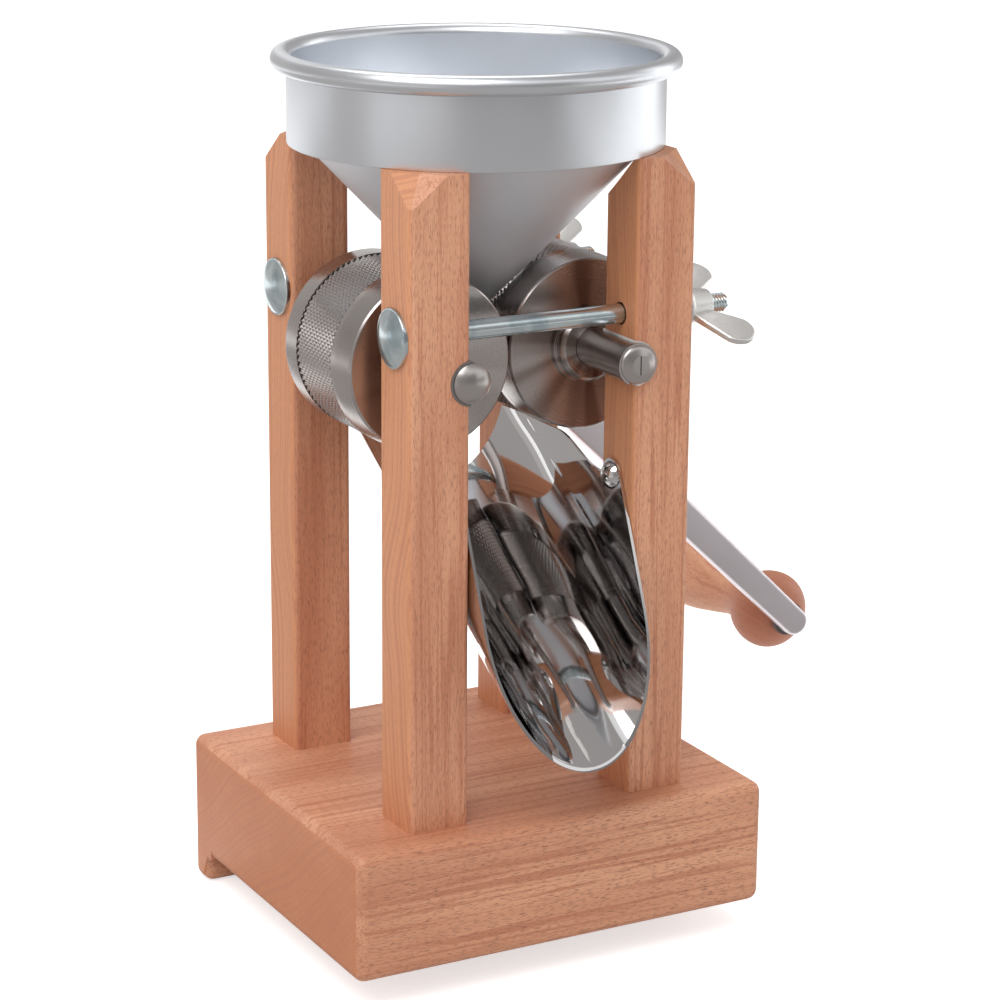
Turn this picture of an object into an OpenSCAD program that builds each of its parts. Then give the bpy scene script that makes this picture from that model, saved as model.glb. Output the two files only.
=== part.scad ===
// Manual grain flaker: a wooden table stand of four posts, two knurled rollers turned by a crank,
// a lift-off funnel above them and a bent sheet chute below them.
// Millimetres. +X right, -Y front (the chute side), +Z up, origin at the centre of the base's
// underside.

/* [Base] */
// Width of the base block, left to right
base_w = 142; // [130:1:180]
// Depth of the base block, front to back
base_d = 124; // [112:1:150]
// Height of the base block
base_h = 40; // [30:1:55]
// Rounding of the base block's upright corners
base_corner_r = 3; // [1:0.5:6]
// Rounding of the base block's level edges
base_edge_r = 2.5; // [1:0.5:5]
// Depth of the stop batten under the rear edge, which hooks over a table
batten_d = 10.5; // [9.5:0.5:24]
// Drop of the stop batten below the base
batten_h = 9.5; // [7:0.5:15]
// Depth of the rebate in the base's underside that seats the stop batten
batten_seat = 3; // [2.5:0.5:8]
// How far the seated part of the batten reaches in front of its stop face
batten_lip = 0.5; // [0.3:0.1:2]
// Rounding of the stop batten's lower edges
batten_r = 3; // [1:0.5:4]

/* [Posts] */
// Side of each square post
post_w = 20; // [17:0.5:26]
// Height of each post above the base
post_h = 199; // [190:1:230]
// Clear width between the left and the right posts
post_gap_x = 56; // [52:1:64]
// Clear depth between the front and the rear posts
post_gap_y = 61; // [58:1:70]
// Rounding of the posts' upright edges
post_edge_r = 2; // [0.5:0.5:4]
// How far below the top the cut on the outer corner starts
post_facet_h = 10; // [4:1:16]
// Rise of that cut for each millimetre inwards
post_facet_rise = 0.8; // [0.5:0.1:1.2]
// Play of the funnel above the sloping cuts on the inner corners
post_cone_gap = 3; // [1.5:0.5:3.5]

/* [Hopper] */
// Outer radius of the hopper's band
band_r = 57.5; // [54:0.5:61]
// Sheet thickness of the band
band_t = 1.5; // [1:0.1:2.5]
// Height of the band from its lower edge to the centre of the rolled rim
band_h = 25.2; // [18:0.1:40]
// Radius of the rolled rim
rim_r = 3.1; // [2.5:0.1:5]
// Sheet thickness of the funnel
funnel_t = 1.3; // [0.8:0.1:2]
// Height of the skirt that stands below the funnel's joint
skirt_h = 4; // [3.6:0.1:7]
// Height of the funnel's own point above the axles
funnel_point_rise = 7.2; // [5:0.1:9]
// Height above the axles at which the funnel's two flaps end
flap_rise = 12.7; // [11:0.1:16]
// Gap between the funnel's saddle cuts and the rollers
saddle_gap = 0.8; // [0.4:0.1:2]

/* [Rollers] */
// Height of the axles above the base
axle_rise = 137.3; // [130:0.1:150]
// Radius of the axles
axle_r = 6; // [5:0.25:7]
// How far the axles' centres stand clear of the posts' inner faces
axle_inset = 0.2; // [0:0.1:1]
// Gap between the two rollers, in which grain is flaked
nip_gap = 0.6; // [0.4:0.1:1.5]
// Length of each roller
roller_l = 44.1; // [40:0.1:47]
// Place of the left roller's front face
roller_left_y = -24.4; // [-25:0.1:-21]
// Setback of the right roller behind the left one
roller_setback = 4; // [0:0.5:5]
// Width of the smooth band before the knurl
front_band_w = 12.4; // [8:0.1:16]
// Width of the knurled band
knurl_w = 23; // [16:0.5:26]
// Depth of the knurl's grooves
knurl_depth = 0.7; // [0.4:0.1:1.2]
// Diamonds around a roller
knurl_count = 48; // [24:4:60]
// Rows of diamonds across the knurled band
knurl_rows = 5; // [2:1:6]
// Narrowing of the smooth front band at the roller's face
face_taper = 0.7; // [0.2:0.1:1.5]
// Radius of the collar on a roller's front face
collar_r = 12; // [9:0.5:15]
// Thickness of that collar
collar_t = 4.6; // [3:0.1:5]
// Radius of the spacer sleeve behind a roller
spacer_r = 9; // [8:0.5:12]
// How far the axles stand out in front of the posts
axle_proud = 3; // [3:0.5:8]
// Height of the left axle's domed end
axle_dome_h = 2.4; // [1.5:0.1:4]

/* [Bushes] */
// Wall of the half-round plastic bushes in the posts
bush_t = 0.8; // [0.6:0.1:2]
// How far each bush stands out of its post at both ends
bush_proud = 0.2; // [0.1:0.1:1]
// Running clearance of the axles in the bushes, on the radius
run_gap = 0.05; // [0.02:0.01:0.1]

/* [Clamp bolts] */
// Radius of the clamp bolts' rods
rod_r = 3; // [2.5:0.25:4]
// Height of the clamp bolts above the axles
rod_rise = 13.5; // [12.5:0.5:18]
// Clearance of the rods in the posts, on the radius
rod_gap = 0.5; // [0.1:0.1:0.8]
// Radius of the mushroom heads
head_r = 9; // [7:0.1:10]
// Height of the mushroom heads
head_h = 4.6; // [3:0.1:7]
// Side of the square neck below a head
neck_w = 6.4; // [6:0.1:8]
// Length of the square neck
neck_l = 4; // [3:0.5:6]
// Length of rod that stands out beyond a wing nut's hub
rod_spare = 6.5; // [2:0.5:12]
// Radius of the washers
washer_r = 7; // [6:0.5:9]
// Thickness of the washers
washer_t = 1.2; // [0.8:0.1:2]

/* [Wing nuts] */
// Radius of a wing nut's hub at its foot
nut_foot_r = 5.8; // [5:0.1:7]
// Radius of a wing nut's hub at its top
nut_top_r = 4.6; // [4.5:0.1:5.5]
// Height of a wing nut's hub
nut_h = 9.3; // [7:0.1:12]
// Reach of the wings from the rod's axis
wing_reach = 20; // [15:0.5:22]
// Radius of the wings' round ends
wing_end_r = 6; // [4:0.1:7]
// Height of the wings' ends above the hub's foot
wing_rise = 12; // [9:0.5:14]
// Thickness of the wings
wing_t = 2.6; // [2:0.1:3.5]
// Turn of the front wing nut's wings from level
wing_turn_front = 26; // [-90:1:90]
// Turn of the rear wing nut's wings from level
wing_turn_rear = 32; // [-90:1:90]

/* [Chute] */
// Sheet thickness of the chute
chute_t = 0.9; // [0.6:0.1:1.5]
// Gap between the chute and the posts on each side
chute_side_gap = 0.3; // [0.1:0.1:0.8]
// Slope of the chute below level
chute_slope = 30; // [26:1:33]
// How far the chute's lip stands in front of the base
lip_reach = 15; // [8:1:22]
// Height of the lip above the base
lip_rise = 21; // [15:1:26]
// Gap between the chute's rim and the rollers
chute_roller_gap = 3.1; // [1.5:0.1:5]
// Height of the chute's screws above the base
ear_rise = 100; // [96:0.5:102]
// Setback of the chute's screws behind the front posts' front faces
ear_setback = 12; // [8:0.5:15]
// Radius of the chute's ears around the screws
ear_r = 5.2; // [4.6:0.1:6]
// Gap between the chute's upper end and the rear posts' front faces
chute_end_gap = 0.5; // [0.2:0.1:4]

/* [Screws] */
// Radius of the chute screws' shanks
chute_screw_r = 1.9; // [1.5:0.1:2.4]
// Radius of the chute screws' domed heads
chute_head_r = 4.4; // [3.5:0.1:5]
// Height of those heads
chute_head_h = 3; // [2:0.1:4]
// Length of the chute screws in the posts
chute_screw_l = 12; // [8:1:15]
// Radius of the foot screws' shanks
foot_screw_r = 2.5; // [2:0.1:3]
// Radius of the foot screws' heads
foot_head_r = 5; // [4:0.1:6]
// Depth of the foot screws' heads in the base's underside
foot_screw_sink = 12; // [6:1:16]
// Reach of the foot screws into the posts
foot_screw_reach = 38; // [20:1:60]
// Radius of the batten screws' shanks
batten_screw_r = 1.75; // [1.5:0.05:2]
// Radius of the batten screws' heads
batten_head_r = 3.5; // [3:0.1:4.5]
// Distance of the batten screws from the middle
batten_screw_x = 48; // [30:1:58]
// Reach of the batten screws into the base
batten_screw_reach = 16; // [10:1:24]

/* [Crank] */
// Distance from the axle to the handle's bolt
crank_l = 203.5; // [190:1:215]
// Angle of the crank below level at rest
crank_angle = 43.6; // [30:0.1:60]
// Radius of the crank's eye and boss on the axle
crank_eye_r = 10; // [8.5:0.5:13]
// Half the width of the crank's bar at the eye
crank_root_r = 6.6; // [6:0.1:9]
// Half the width of the crank's bar at the handle
crank_end_r = 5; // [4.5:0.1:6]
// Thickness of the crank's bar
crank_t = 5.5; // [4:0.5:8]
// Gap between the plane of the base's rear face and the crank's bar
crank_gap = 14; // [4:0.5:25]
// Gap between the crank's boss and the rear bush
boss_gap = 0.4; // [0.2:0.1:1]
// Radius of the grub screw in the crank's boss
grub_r = 2.5; // [2:0.25:3]
// Length of the grub screw
grub_l = 3.6; // [3:0.1:4]

/* [Handle] */
// Radius of the ball at the handle's near end
ball_r = 15; // [12:0.1:17]
// Radius of the handle's neck
neck_r = 8.6; // [7.5:0.1:11]
// Radius of the handle's grip where it is thickest
grip_r = 13.2; // [10:0.1:16]
// Length of the whole handle
handle_l = 92; // [75:1:110]
// Distance from the handle's near face to its neck
neck_y = 29; // [26:1:33]
// Radius of the handle's bolt
pin_r = 3; // [2.5:0.25:3.5]
// Metal left in front of the bolt's blind hole in the crank
pin_web = 1.2; // [0.8:0.1:2]
// Radius of the bolt's head, sunk in the handle's far end
pin_head_r = 5.2; // [4.5:0.1:6]
// Height of the bolt's head
pin_head_h = 3.4; // [2:0.1:4]
// Depth of the hole in which the head lies
pin_sink = 8; // [5:1:14]
// Radius of the washer between the crank and the handle
pin_washer_r = 6.2; // [5:0.1:8]
// Thickness of that washer
pin_washer_t = 1.4; // [1:0.1:2.5]
// Play between the washer and the handle
handle_play = 0.3; // [0.1:0.1:1]

/* [Retaining ring] */
// Thickness of the ring on the right axle
ring_t = 0.9; // [0.6:0.1:1.4]
// Outer radius of the ring
ring_r = 6.6; // [6.3:0.1:9]
// Depth of the ring's groove
ring_groove = 0.7; // [0.4:0.1:1]

/* [Hidden] */
// Facets of a full circle in previews
$fn = 96;
// Clearance of screws and rods in their holes, on the radius
fit = 0.05;
// Overshoot of cutting shapes
over = 1;
// End play of the ring in front of its bush
ring_gap = 0.2;
// Clearance of what is pressed on an axle, on the radius
press_gap = 0.02;
// Depth at which a straight edge ends inside a round end, so that line and arc cross
rim_tuck = 0.1;

post_x = post_gap_x / 2 + post_w / 2;
post_y = post_gap_y / 2 + post_w / 2;
post_out_x = post_gap_x / 2 + post_w;
post_out_y = post_gap_y / 2 + post_w;
post_top = base_h + post_h;

axle_x = post_gap_x / 2 - axle_inset;
axle_z = base_h + axle_rise;
roller_r = axle_x - nip_gap / 2;
roller_right_y = roller_left_y + roller_setback;
bush_r = axle_r + run_gap + bush_t;
rod_z = axle_z + rod_rise;

band_in_r = band_r - band_t;
rim_y = band_in_r + rim_r;
rim_z = post_top + band_h;
funnel_point = axle_z + funnel_point_rise;
// Radius that the funnel gains for each millimetre of height
funnel_k = band_in_r / (post_top + skirt_h - funnel_point);
// The same for its length along the slope, which turns sheet thickness into radius
funnel_slant = sqrt(1 + funnel_k * funnel_k);

relief_w = 0.6;
knurl_core_r = roller_r - knurl_depth - 0.5;
knurl_bore_r = knurl_core_r - 2;

chute_r = post_gap_x / 2 - chute_side_gap;
lip_y = -base_d / 2 - lip_reach;
lip_z = base_h + lip_rise;
chute_rim_z = axle_z - roller_r - chute_roller_gap;
chute_end_y = post_gap_y / 2 - chute_end_gap;
ear_y = -post_out_y + ear_setback;
ear_z = base_h + ear_rise;

bar_y = base_d / 2 + crank_gap;
boss_y = post_out_y + bush_proud + boss_gap;
pin_x = axle_x + crank_l * cos(crank_angle);
pin_z = axle_z - crank_l * sin(crank_angle);
handle_y = bar_y + crank_t + pin_washer_t + handle_play;
ring_y = -post_out_y - bush_proud - ring_gap;

beech = "#d9a27c";
aluminium = "#c3c6ca";
steel = "#9da0a3";
bright_steel = "#c9ccd0";
zinc = "#b4bec6";
white_plastic = "#f0f0ec";

// Rectangle with round corners, centred
module round_rect(w, h, r) {
    square([w - 2 * r, h], center = true);
    square([w, h - 2 * r], center = true);
    for (sx = [-1, 1], sy = [-1, 1])
        translate([sx * (w / 2 - r), sy * (h / 2 - r)]) circle(r = r);
}

// Cylinder along +Y from y = 0
module rod_y(r, l) {
    rotate([-90, 0, 0]) cylinder(r = r, h = l);
}

// Cylinder along +X from x = 0
module rod_x(r, l) {
    rotate([0, 90, 0]) cylinder(r = r, h = l);
}

// Profile of radius and length revolved about the Y axis
module turned_y() {
    rotate([-90, 0, 0]) rotate_extrude() children();
}

// Countersunk screw along +Z from the face of its head, or the hole for it when grown by a gap
module countersunk(head_r, shank_r, reach, gap) {
    cone_h = head_r - shank_r;
    cylinder(r1 = head_r + gap, r2 = shank_r + gap, h = cone_h);
    cylinder(r = shank_r + gap, h = reach);
}

module base_block() {
    color(beech) difference() {
        intersection() {
            linear_extrude(base_h) round_rect(base_w, base_d, base_corner_r);
            translate([0, base_d / 2, base_h / 2]) rotate([90, 0, 0])
                linear_extrude(base_d) round_rect(base_w, base_h, base_edge_r);
            translate([-base_w / 2, 0, base_h / 2]) rotate([90, 0, 90])
                linear_extrude(base_w) round_rect(base_d, base_h, base_edge_r);
        }
        for (sx = [-1, 1], sy = [-1, 1]) translate([sx * post_x, sy * post_y, 0]) {
            translate([0, 0, -over]) cylinder(r = foot_head_r + 0.5, h = foot_screw_sink + over);
            translate([0, 0, foot_screw_sink])
                countersunk(foot_head_r, foot_screw_r, base_h, fit);
        }
        translate([-base_w / 2 - over, base_d / 2 - batten_d - batten_lip, -over])
            cube([base_w + 2 * over, batten_d + batten_lip + over, batten_seat + over]);
        for (sx = [-1, 1]) translate([sx * batten_screw_x, base_d / 2 - batten_d / 2, -over])
            cylinder(r = batten_screw_r + fit, h = batten_screw_reach + fit + over);
    }
}

// Batten seated in the base's rebate, flush with its rear and side faces; the seated part has a lip
// in front, so that the stop face below the base stands clear of the rebate
module stop_batten() {
    color(beech) difference() {
        intersection() {
            union() {
                translate([-base_w / 2, base_d / 2 - batten_d / 2, 0]) rotate([90, 0, 90])
                    linear_extrude(base_w) intersection() {
                        translate([-batten_d / 2, -batten_h])
                            square([batten_d, batten_h + batten_seat]);
                        round_rect(batten_d, 2 * batten_h, batten_r);
                    }
                translate([-base_w / 2, base_d / 2 - batten_d - batten_lip, 0])
                    cube([base_w, batten_lip + over, batten_seat]);
            }
            translate([0, 0, -batten_h - over]) linear_extrude(batten_h + batten_seat + 2 * over)
                round_rect(base_w, base_d, base_corner_r);
        }
        for (sx = [-1, 1]) translate([sx * batten_screw_x, base_d / 2 - batten_d / 2, -batten_h])
            countersunk(batten_head_r, batten_screw_r, batten_h + batten_seat + over, fit);
    }
}

module batten_screws() {
    color(zinc) for (sx = [-1, 1])
        translate([sx * batten_screw_x, base_d / 2 - batten_d / 2, -batten_h])
            countersunk(batten_head_r, batten_screw_r, batten_h + batten_screw_reach, 0);
}

module foot_screws() {
    color(zinc) for (sx = [-1, 1], sy = [-1, 1])
        translate([sx * post_x, sy * post_y, foot_screw_sink])
            countersunk(foot_head_r, foot_screw_r, base_h - foot_screw_sink + foot_screw_reach, 0);
}

// The post on the right at the back; mirrors of it make the others
module post_blank() {
    difference() {
        translate([post_x, post_y, base_h]) linear_extrude(post_h)
            round_rect(post_w, post_w, post_edge_r);
        translate([post_out_x, post_out_y, post_top - post_facet_h]) rotate([0, 0, 45])
            rotate([0, atan(post_facet_rise * sqrt(2)), 0])
                translate([-2 * post_w, -2 * post_w, 0]) cube(4 * post_w);
        translate([0, 0, funnel_point - post_cone_gap])
            cylinder(r1 = 0, r2 = funnel_k * post_h, h = post_h);
        translate([axle_x, post_gap_y / 2 - over, axle_z]) rod_y(bush_r + fit, post_w + 2 * over);
        translate([post_gap_x / 2 - over, post_y, rod_z]) rod_x(rod_r + rod_gap, post_w + 2 * over);
        translate([post_x, post_y, base_h - over])
            cylinder(r = foot_screw_r + fit, h = foot_screw_reach + fit + over);
    }
}

// Square hole in a left post for the neck of a clamp bolt
module neck_hole(sy) {
    side = neck_w + 2 * fit;
    translate([-post_out_x - over, sy * post_y - side / 2, rod_z - side / 2])
        cube([neck_l + fit + over, side, side]);
}

// Pilot hole in a front post for a chute screw
module ear_hole(sx) {
    translate([sx * post_gap_x / 2, ear_y, ear_z]) rotate([0, sx * 90, 0])
        translate([0, 0, -over]) cylinder(r = chute_screw_r + fit, h = chute_screw_l + fit + over);
}

module post_front_left() {
    color(beech) difference() {
        mirror([1, 0, 0]) mirror([0, 1, 0]) post_blank();
        neck_hole(-1);
        ear_hole(-1);
    }
}

module post_front_right() {
    color(beech) difference() {
        mirror([0, 1, 0]) post_blank();
        ear_hole(1);
    }
}

module post_rear_left() {
    color(beech) difference() {
        mirror([1, 0, 0]) post_blank();
        neck_hole(1);
    }
}

module post_rear_right() {
    color(beech) post_blank();
}

// Band with its sheet rolled outwards into a hollow rim that stops short of the band
module hopper_band() {
    slit = 0.3;
    color(aluminium) rotate_extrude() difference() {
        union() {
            translate([band_in_r, post_top]) square([band_t, band_h]);
            translate([rim_y, rim_z]) circle(r = rim_r);
        }
        translate([rim_y, rim_z]) circle(r = rim_r - band_t);
        translate([band_r, rim_z - rim_r]) square([slit, rim_r]);
    }
}

// Cone whose foot is saddled over both rollers, so that two flaps close its ends
module hopper_funnel() {
    wall = funnel_t * funnel_slant;
    flap_z = axle_z + flap_rise;
    flap_r = funnel_k * (flap_z - funnel_point);
    joint_z = post_top + skirt_h;
    color(aluminium) difference() {
        rotate_extrude() polygon([
            [flap_r, flap_z],
            [band_in_r, joint_z],
            [band_in_r, joint_z + wall / funnel_k],
            [flap_r - wall, flap_z]
        ]);
        for (sx = [-1, 1]) translate([sx * axle_x, -roller_r, axle_z])
            rod_y(roller_r + saddle_gap, 2 * roller_r);
    }
}

// Sleeve of four-sided pyramids between crossing grooves, closed by a bore and two flat ends.
// Points lie on a grid of half diamonds: even ones where grooves cross, odd ones on the peaks.
module knurled_sleeve(peak_r, groove_r, bore_r, w, count, rows) {
    n = 2 * count;
    m = 2 * rows;
    function at(i, j) = j * n + i % n;
    function out_r(i, j) = (i + j) % 2 == 1 && j > 0 && j < m ? peak_r : groove_r;
    skin = [for (j = [0:m], i = [0:n - 1])
        [out_r(i, j) * cos(i * 360 / n), out_r(i, j) * sin(i * 360 / n), j * w / m]];
    bore = [for (z = [0, w], i = [0:n - 1])
        [bore_r * cos(i * 360 / n), bore_r * sin(i * 360 / n), z]];
    low = n * (m + 1);
    high = low + n;
    pyramids = [for (j = [0:m], i = [0:n - 1]) if ((i + j) % 2 == 1)
        for (s = [-1, 1], t = [-1, 1]) if (j + t >= 0 && j + t <= m)
            s * t > 0 ? [at(i, j), at(i, j + t), at(i + n + s, j)]
                      : [at(i, j), at(i + n + s, j), at(i, j + t)]];
    bore_wall = [for (i = [0:n - 1])
        [low + i, low + (i + 1) % n, high + (i + 1) % n, high + i]];
    front_end = [for (i = [0:n - 1])
        [at(i, 0), at(i + 1, 0), low + (i + 1) % n, low + i]];
    rear_end = [for (i = [0:n - 1])
        [at(i, m), high + i, high + (i + 1) % n, at(i + 1, m)]];
    polyhedron(points = concat(skin, bore),
        faces = concat(pyramids, bore_wall, front_end, rear_end), convexity = 4);
}

// Turned steel roller, its front face at y = 0
module roller() {
    knurl_y = front_band_w;
    turned_y() polygon([
        [axle_r + press_gap, 0],
        [roller_r - face_taper - 0.6, 0],
        [roller_r - face_taper, 0.6],
        [roller_r, front_band_w * 0.75],
        [roller_r, knurl_y - relief_w],
        [knurl_core_r, knurl_y - relief_w],
        [knurl_core_r, knurl_y + knurl_w + relief_w],
        [roller_r, knurl_y + knurl_w + relief_w],
        [roller_r, roller_l - 0.6],
        [roller_r - 0.6, roller_l],
        [axle_r + press_gap, roller_l]
    ]);
    translate([0, knurl_y, 0]) rotate([-90, 0, 0])
        knurled_sleeve(roller_r, roller_r - knurl_depth, knurl_bore_r, knurl_w, knurl_count,
            knurl_rows);
}

module roller_left() {
    color(steel) translate([-axle_x, roller_left_y, axle_z]) roller();
}

module roller_right() {
    color(steel) translate([axle_x, roller_right_y, axle_z]) roller();
}

// Flanged collar against a roller's front face, its stepped side to the front
module collar() {
    step = 1.2;
    turned_y() polygon([
        [axle_r + press_gap, -collar_t],
        [collar_r - step - 1, -collar_t],
        [collar_r - 1, -collar_t + step],
        [collar_r - 1, -1.4],
        [collar_r, -1.4],
        [collar_r, 0],
        [axle_r + press_gap, 0]
    ]);
}

module collar_left() {
    color(steel) translate([-axle_x, roller_left_y, axle_z]) collar();
}

module collar_right() {
    color(steel) translate([axle_x, roller_right_y, axle_z]) collar();
}

// Sleeve that fills the space from a roller's rear face to the rear bush
module spacer(x, y) {
    l = post_gap_y / 2 - bush_proud - boss_gap - y;
    color(steel) translate([x, y, axle_z]) difference() {
        rod_y(spacer_r, l);
        translate([0, -over, 0]) rod_y(axle_r + press_gap, l + 2 * over);
    }
}

module spacer_left() {
    spacer(-axle_x, roller_left_y + roller_l);
}

module spacer_right() {
    spacer(axle_x, roller_right_y + roller_l);
}

// Plain axle with a domed front end
module axle_left() {
    l = 2 * (post_out_y + axle_proud);
    dome_r = (axle_r * axle_r + axle_dome_h * axle_dome_h) / (2 * axle_dome_h);
    color(bright_steel) translate([-axle_x, -post_out_y - axle_proud, axle_z]) intersection() {
        rod_y(axle_r, l);
        translate([0, dome_r, 0]) union() {
            sphere(r = dome_r);
            translate([0, -dome_r + axle_dome_h, 0]) rod_y(axle_r + over, l);
        }
    }
}

// Driven axle, with a chamfered and slotted front end and a groove for its ring
module axle_right() {
    end = 0.8;
    front = -post_out_y - axle_proud;
    l = bar_y + crank_t - front;
    color(bright_steel) translate([axle_x, front, axle_z]) difference() {
        turned_y() polygon([
            [0, 0],
            [axle_r - end, 0],
            [axle_r, end],
            [axle_r, ring_y - ring_t - front - fit],
            [axle_r - ring_groove, ring_y - ring_t - front - fit],
            [axle_r - ring_groove, ring_y - front + fit],
            [axle_r, ring_y - front + fit],
            [axle_r, l - end],
            [axle_r - end, l],
            [0, l]
        ]);
        translate([-0.4, -over, -axle_r]) cube([0.8, over + 0.6, 2 * axle_r]);
    }
}

// Half-round bush that lines the groove in a post's inner face; right rear one, to be mirrored
module bush_blank() {
    l = post_w + 2 * bush_proud;
    color(white_plastic) difference() {
        translate([axle_x, post_gap_y / 2 - bush_proud, axle_z]) rod_y(bush_r, l);
        translate([axle_x, post_gap_y / 2 - bush_proud - over, axle_z])
            rod_y(axle_r + run_gap, l + 2 * over);
        translate([0, 0, axle_z - 2 * bush_r])
            cube([post_gap_x / 2 + fit, post_out_y + post_w, 4 * bush_r]);
    }
}

module bush_front_left() {
    mirror([1, 0, 0]) mirror([0, 1, 0]) bush_blank();
}

module bush_front_right() {
    mirror([0, 1, 0]) bush_blank();
}

module bush_rear_left() {
    mirror([1, 0, 0]) bush_blank();
}

module bush_rear_right() {
    bush_blank();
}

// Open ring in the right axle's groove, in front of the post
module retaining_ring() {
    gap_w = axle_r;
    color(steel) translate([axle_x, ring_y - ring_t, axle_z]) difference() {
        rod_y(ring_r, ring_t);
        translate([0, -over, 0]) rod_y(axle_r - ring_groove + fit, ring_t + 2 * over);
        translate([-gap_w / 2, -over, -ring_r - over]) cube([gap_w, ring_t + 2 * over, ring_r]);
    }
}

// Mushroom-headed bolt through a left and a right post
module clamp_bolt(sy) {
    cap_r = (head_r * head_r + head_h * head_h) / (2 * head_h);
    end_x = post_out_x + washer_t + nut_h + rod_spare;
    end = 0.8;
    color(zinc) translate([0, sy * post_y, rod_z]) {
        intersection() {
            translate([-post_out_x - head_h, 0, 0]) rod_x(head_r, head_h);
            translate([-post_out_x - head_h + cap_r, 0, 0]) sphere(r = cap_r);
        }
        translate([-post_out_x, -neck_w / 2, -neck_w / 2]) cube([neck_l, neck_w, neck_w]);
        rotate([0, 90, 0]) rotate_extrude() polygon([
            [0, -post_out_x],
            [rod_r, -post_out_x],
            [rod_r, end_x - end],
            [rod_r - end, end_x],
            [0, end_x]
        ]);
    }
}

module clamp_bolt_front() {
    clamp_bolt(-1);
}

module clamp_bolt_rear() {
    clamp_bolt(1);
}

module washer(sy) {
    color(zinc) translate([post_out_x, sy * post_y, rod_z]) difference() {
        rod_x(washer_r, washer_t);
        translate([-over, 0, 0]) rod_x(rod_r + fit, washer_t + 2 * over);
    }
}

module washer_front() {
    washer(-1);
}

module washer_rear() {
    washer(1);
}

// Outline of one wing: a round ear on a foot that springs from the hub
module wing_outline() {
    ear_c = wing_reach - wing_end_r;
    foot_h = nut_h * 0.82;
    difference() {
        union() {
            translate([ear_c, wing_rise]) circle(r = wing_end_r);
            polygon([
                [0, 1.2],
                [nut_foot_r, 1.2],
                [ear_c + wing_end_r * cos(-50), wing_rise + wing_end_r * sin(-50)],
                [ear_c + wing_end_r * cos(130), wing_rise + wing_end_r * sin(130)],
                [0, foot_h]
            ]);
        }
        translate([-over, 0]) square([over + rod_r + 1, 3 * nut_h]);
    }
}

// Cast wing nut, its foot at x = 0 and its wings along Y before it is turned
module wing_nut(sy, turn) {
    color(bright_steel) translate([post_out_x + washer_t, sy * post_y, rod_z]) rotate([turn, 0, 0])
        difference() {
            union() {
                rotate([0, 90, 0]) rotate_extrude() polygon([
                    [0, 0],
                    [nut_foot_r + 0.8, 0],
                    [nut_foot_r + 0.8, 1.2],
                    [nut_foot_r, 1.8],
                    [nut_top_r, nut_h],
                    [0, nut_h]
                ]);
                for (side = [-90, 90]) rotate([side, 0, 0]) rotate([90, 0, 0])
                    translate([0, 0, -wing_t / 2]) linear_extrude(wing_t)
                        rotate(90) mirror([0, 1]) wing_outline();
            }
            translate([-over, 0, 0]) rod_x(rod_r + fit, 3 * nut_h);
        }
}

module wing_nut_front() {
    wing_nut(-1, wing_turn_front);
}

module wing_nut_rear() {
    wing_nut(1, wing_turn_rear);
}

// Outline of the chute from the side: the lip, the edge up to the ears and the rim, which rises
// from behind the ears to run level below the rollers
module chute_side() {
    bottom = function(y) lip_z + (y - lip_y) * tan(chute_slope);
    lean = atan2(ear_z - lip_z, ear_y - lip_y);
    tuck = ear_r - rim_tuck;
    rise_start = ear_y + ear_r + 2.5;
    rise_l = 26;
    polygon(concat(
        [
            [lip_y, lip_z],
            [ear_y - tuck * sin(lean), ear_z + tuck * cos(lean)],
            [ear_y, ear_z - tuck / 2]
        ],
        [for (t = [0:0.2:1])
            [rise_start + t * rise_l, ear_z + (chute_rim_z - ear_z) * (1 - cos(180 * t)) / 2]],
        [
            [chute_end_y, chute_rim_z],
            [chute_end_y, bottom(chute_end_y) - 2 * chute_t],
            [lip_y, lip_z - 2 * chute_t]
        ]
    ));
}

// Bent sheet trough: a half pipe with upright walls, carried down the slope and cut from the side,
// where each wall ends in a round ear
module chute() {
    wall_h = chute_r * 3;
    run = 3 * (chute_end_y - lip_y);
    color(bright_steel) difference() {
        intersection() {
            translate([0, lip_y, lip_z]) rotate([90 + chute_slope, 0, 0])
                translate([0, 0, -run / 2]) linear_extrude(run) translate([0, chute_r])
                    difference() {
                        union() {
                            circle(r = chute_r);
                            translate([-chute_r, 0]) square([2 * chute_r, wall_h]);
                        }
                        circle(r = chute_r - chute_t);
                        translate([-chute_r + chute_t, 0])
                            square([2 * (chute_r - chute_t), wall_h + over]);
                    }
            union() {
                translate([-chute_r - over, 0, 0]) rotate([90, 0, 90])
                    linear_extrude(2 * chute_r + 2 * over) chute_side();
                translate([-chute_r - 2 * over, ear_y, ear_z])
                    rod_x(ear_r, 2 * chute_r + 4 * over);
            }
        }
        translate([-chute_r - over, ear_y, ear_z])
            rod_x(chute_screw_r + fit, 2 * chute_r + 2 * over);
    }
}

// Domed screw whose head lies inside the chute
module chute_screw(sx) {
    cap_r = (chute_head_r * chute_head_r + chute_head_h * chute_head_h) / (2 * chute_head_h);
    seat = chute_r - chute_t;
    color(bright_steel) translate([sx * seat, ear_y, ear_z]) rotate([0, sx * 90, 0]) {
        intersection() {
            translate([0, 0, -chute_head_h]) cylinder(r = chute_head_r, h = chute_head_h);
            translate([0, 0, cap_r - chute_head_h]) sphere(r = cap_r);
        }
        cylinder(r = chute_screw_r, h = post_gap_x / 2 - seat + chute_screw_l);
    }
}

module chute_screw_left() {
    chute_screw(-1);
}

module chute_screw_right() {
    chute_screw(1);
}

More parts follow.
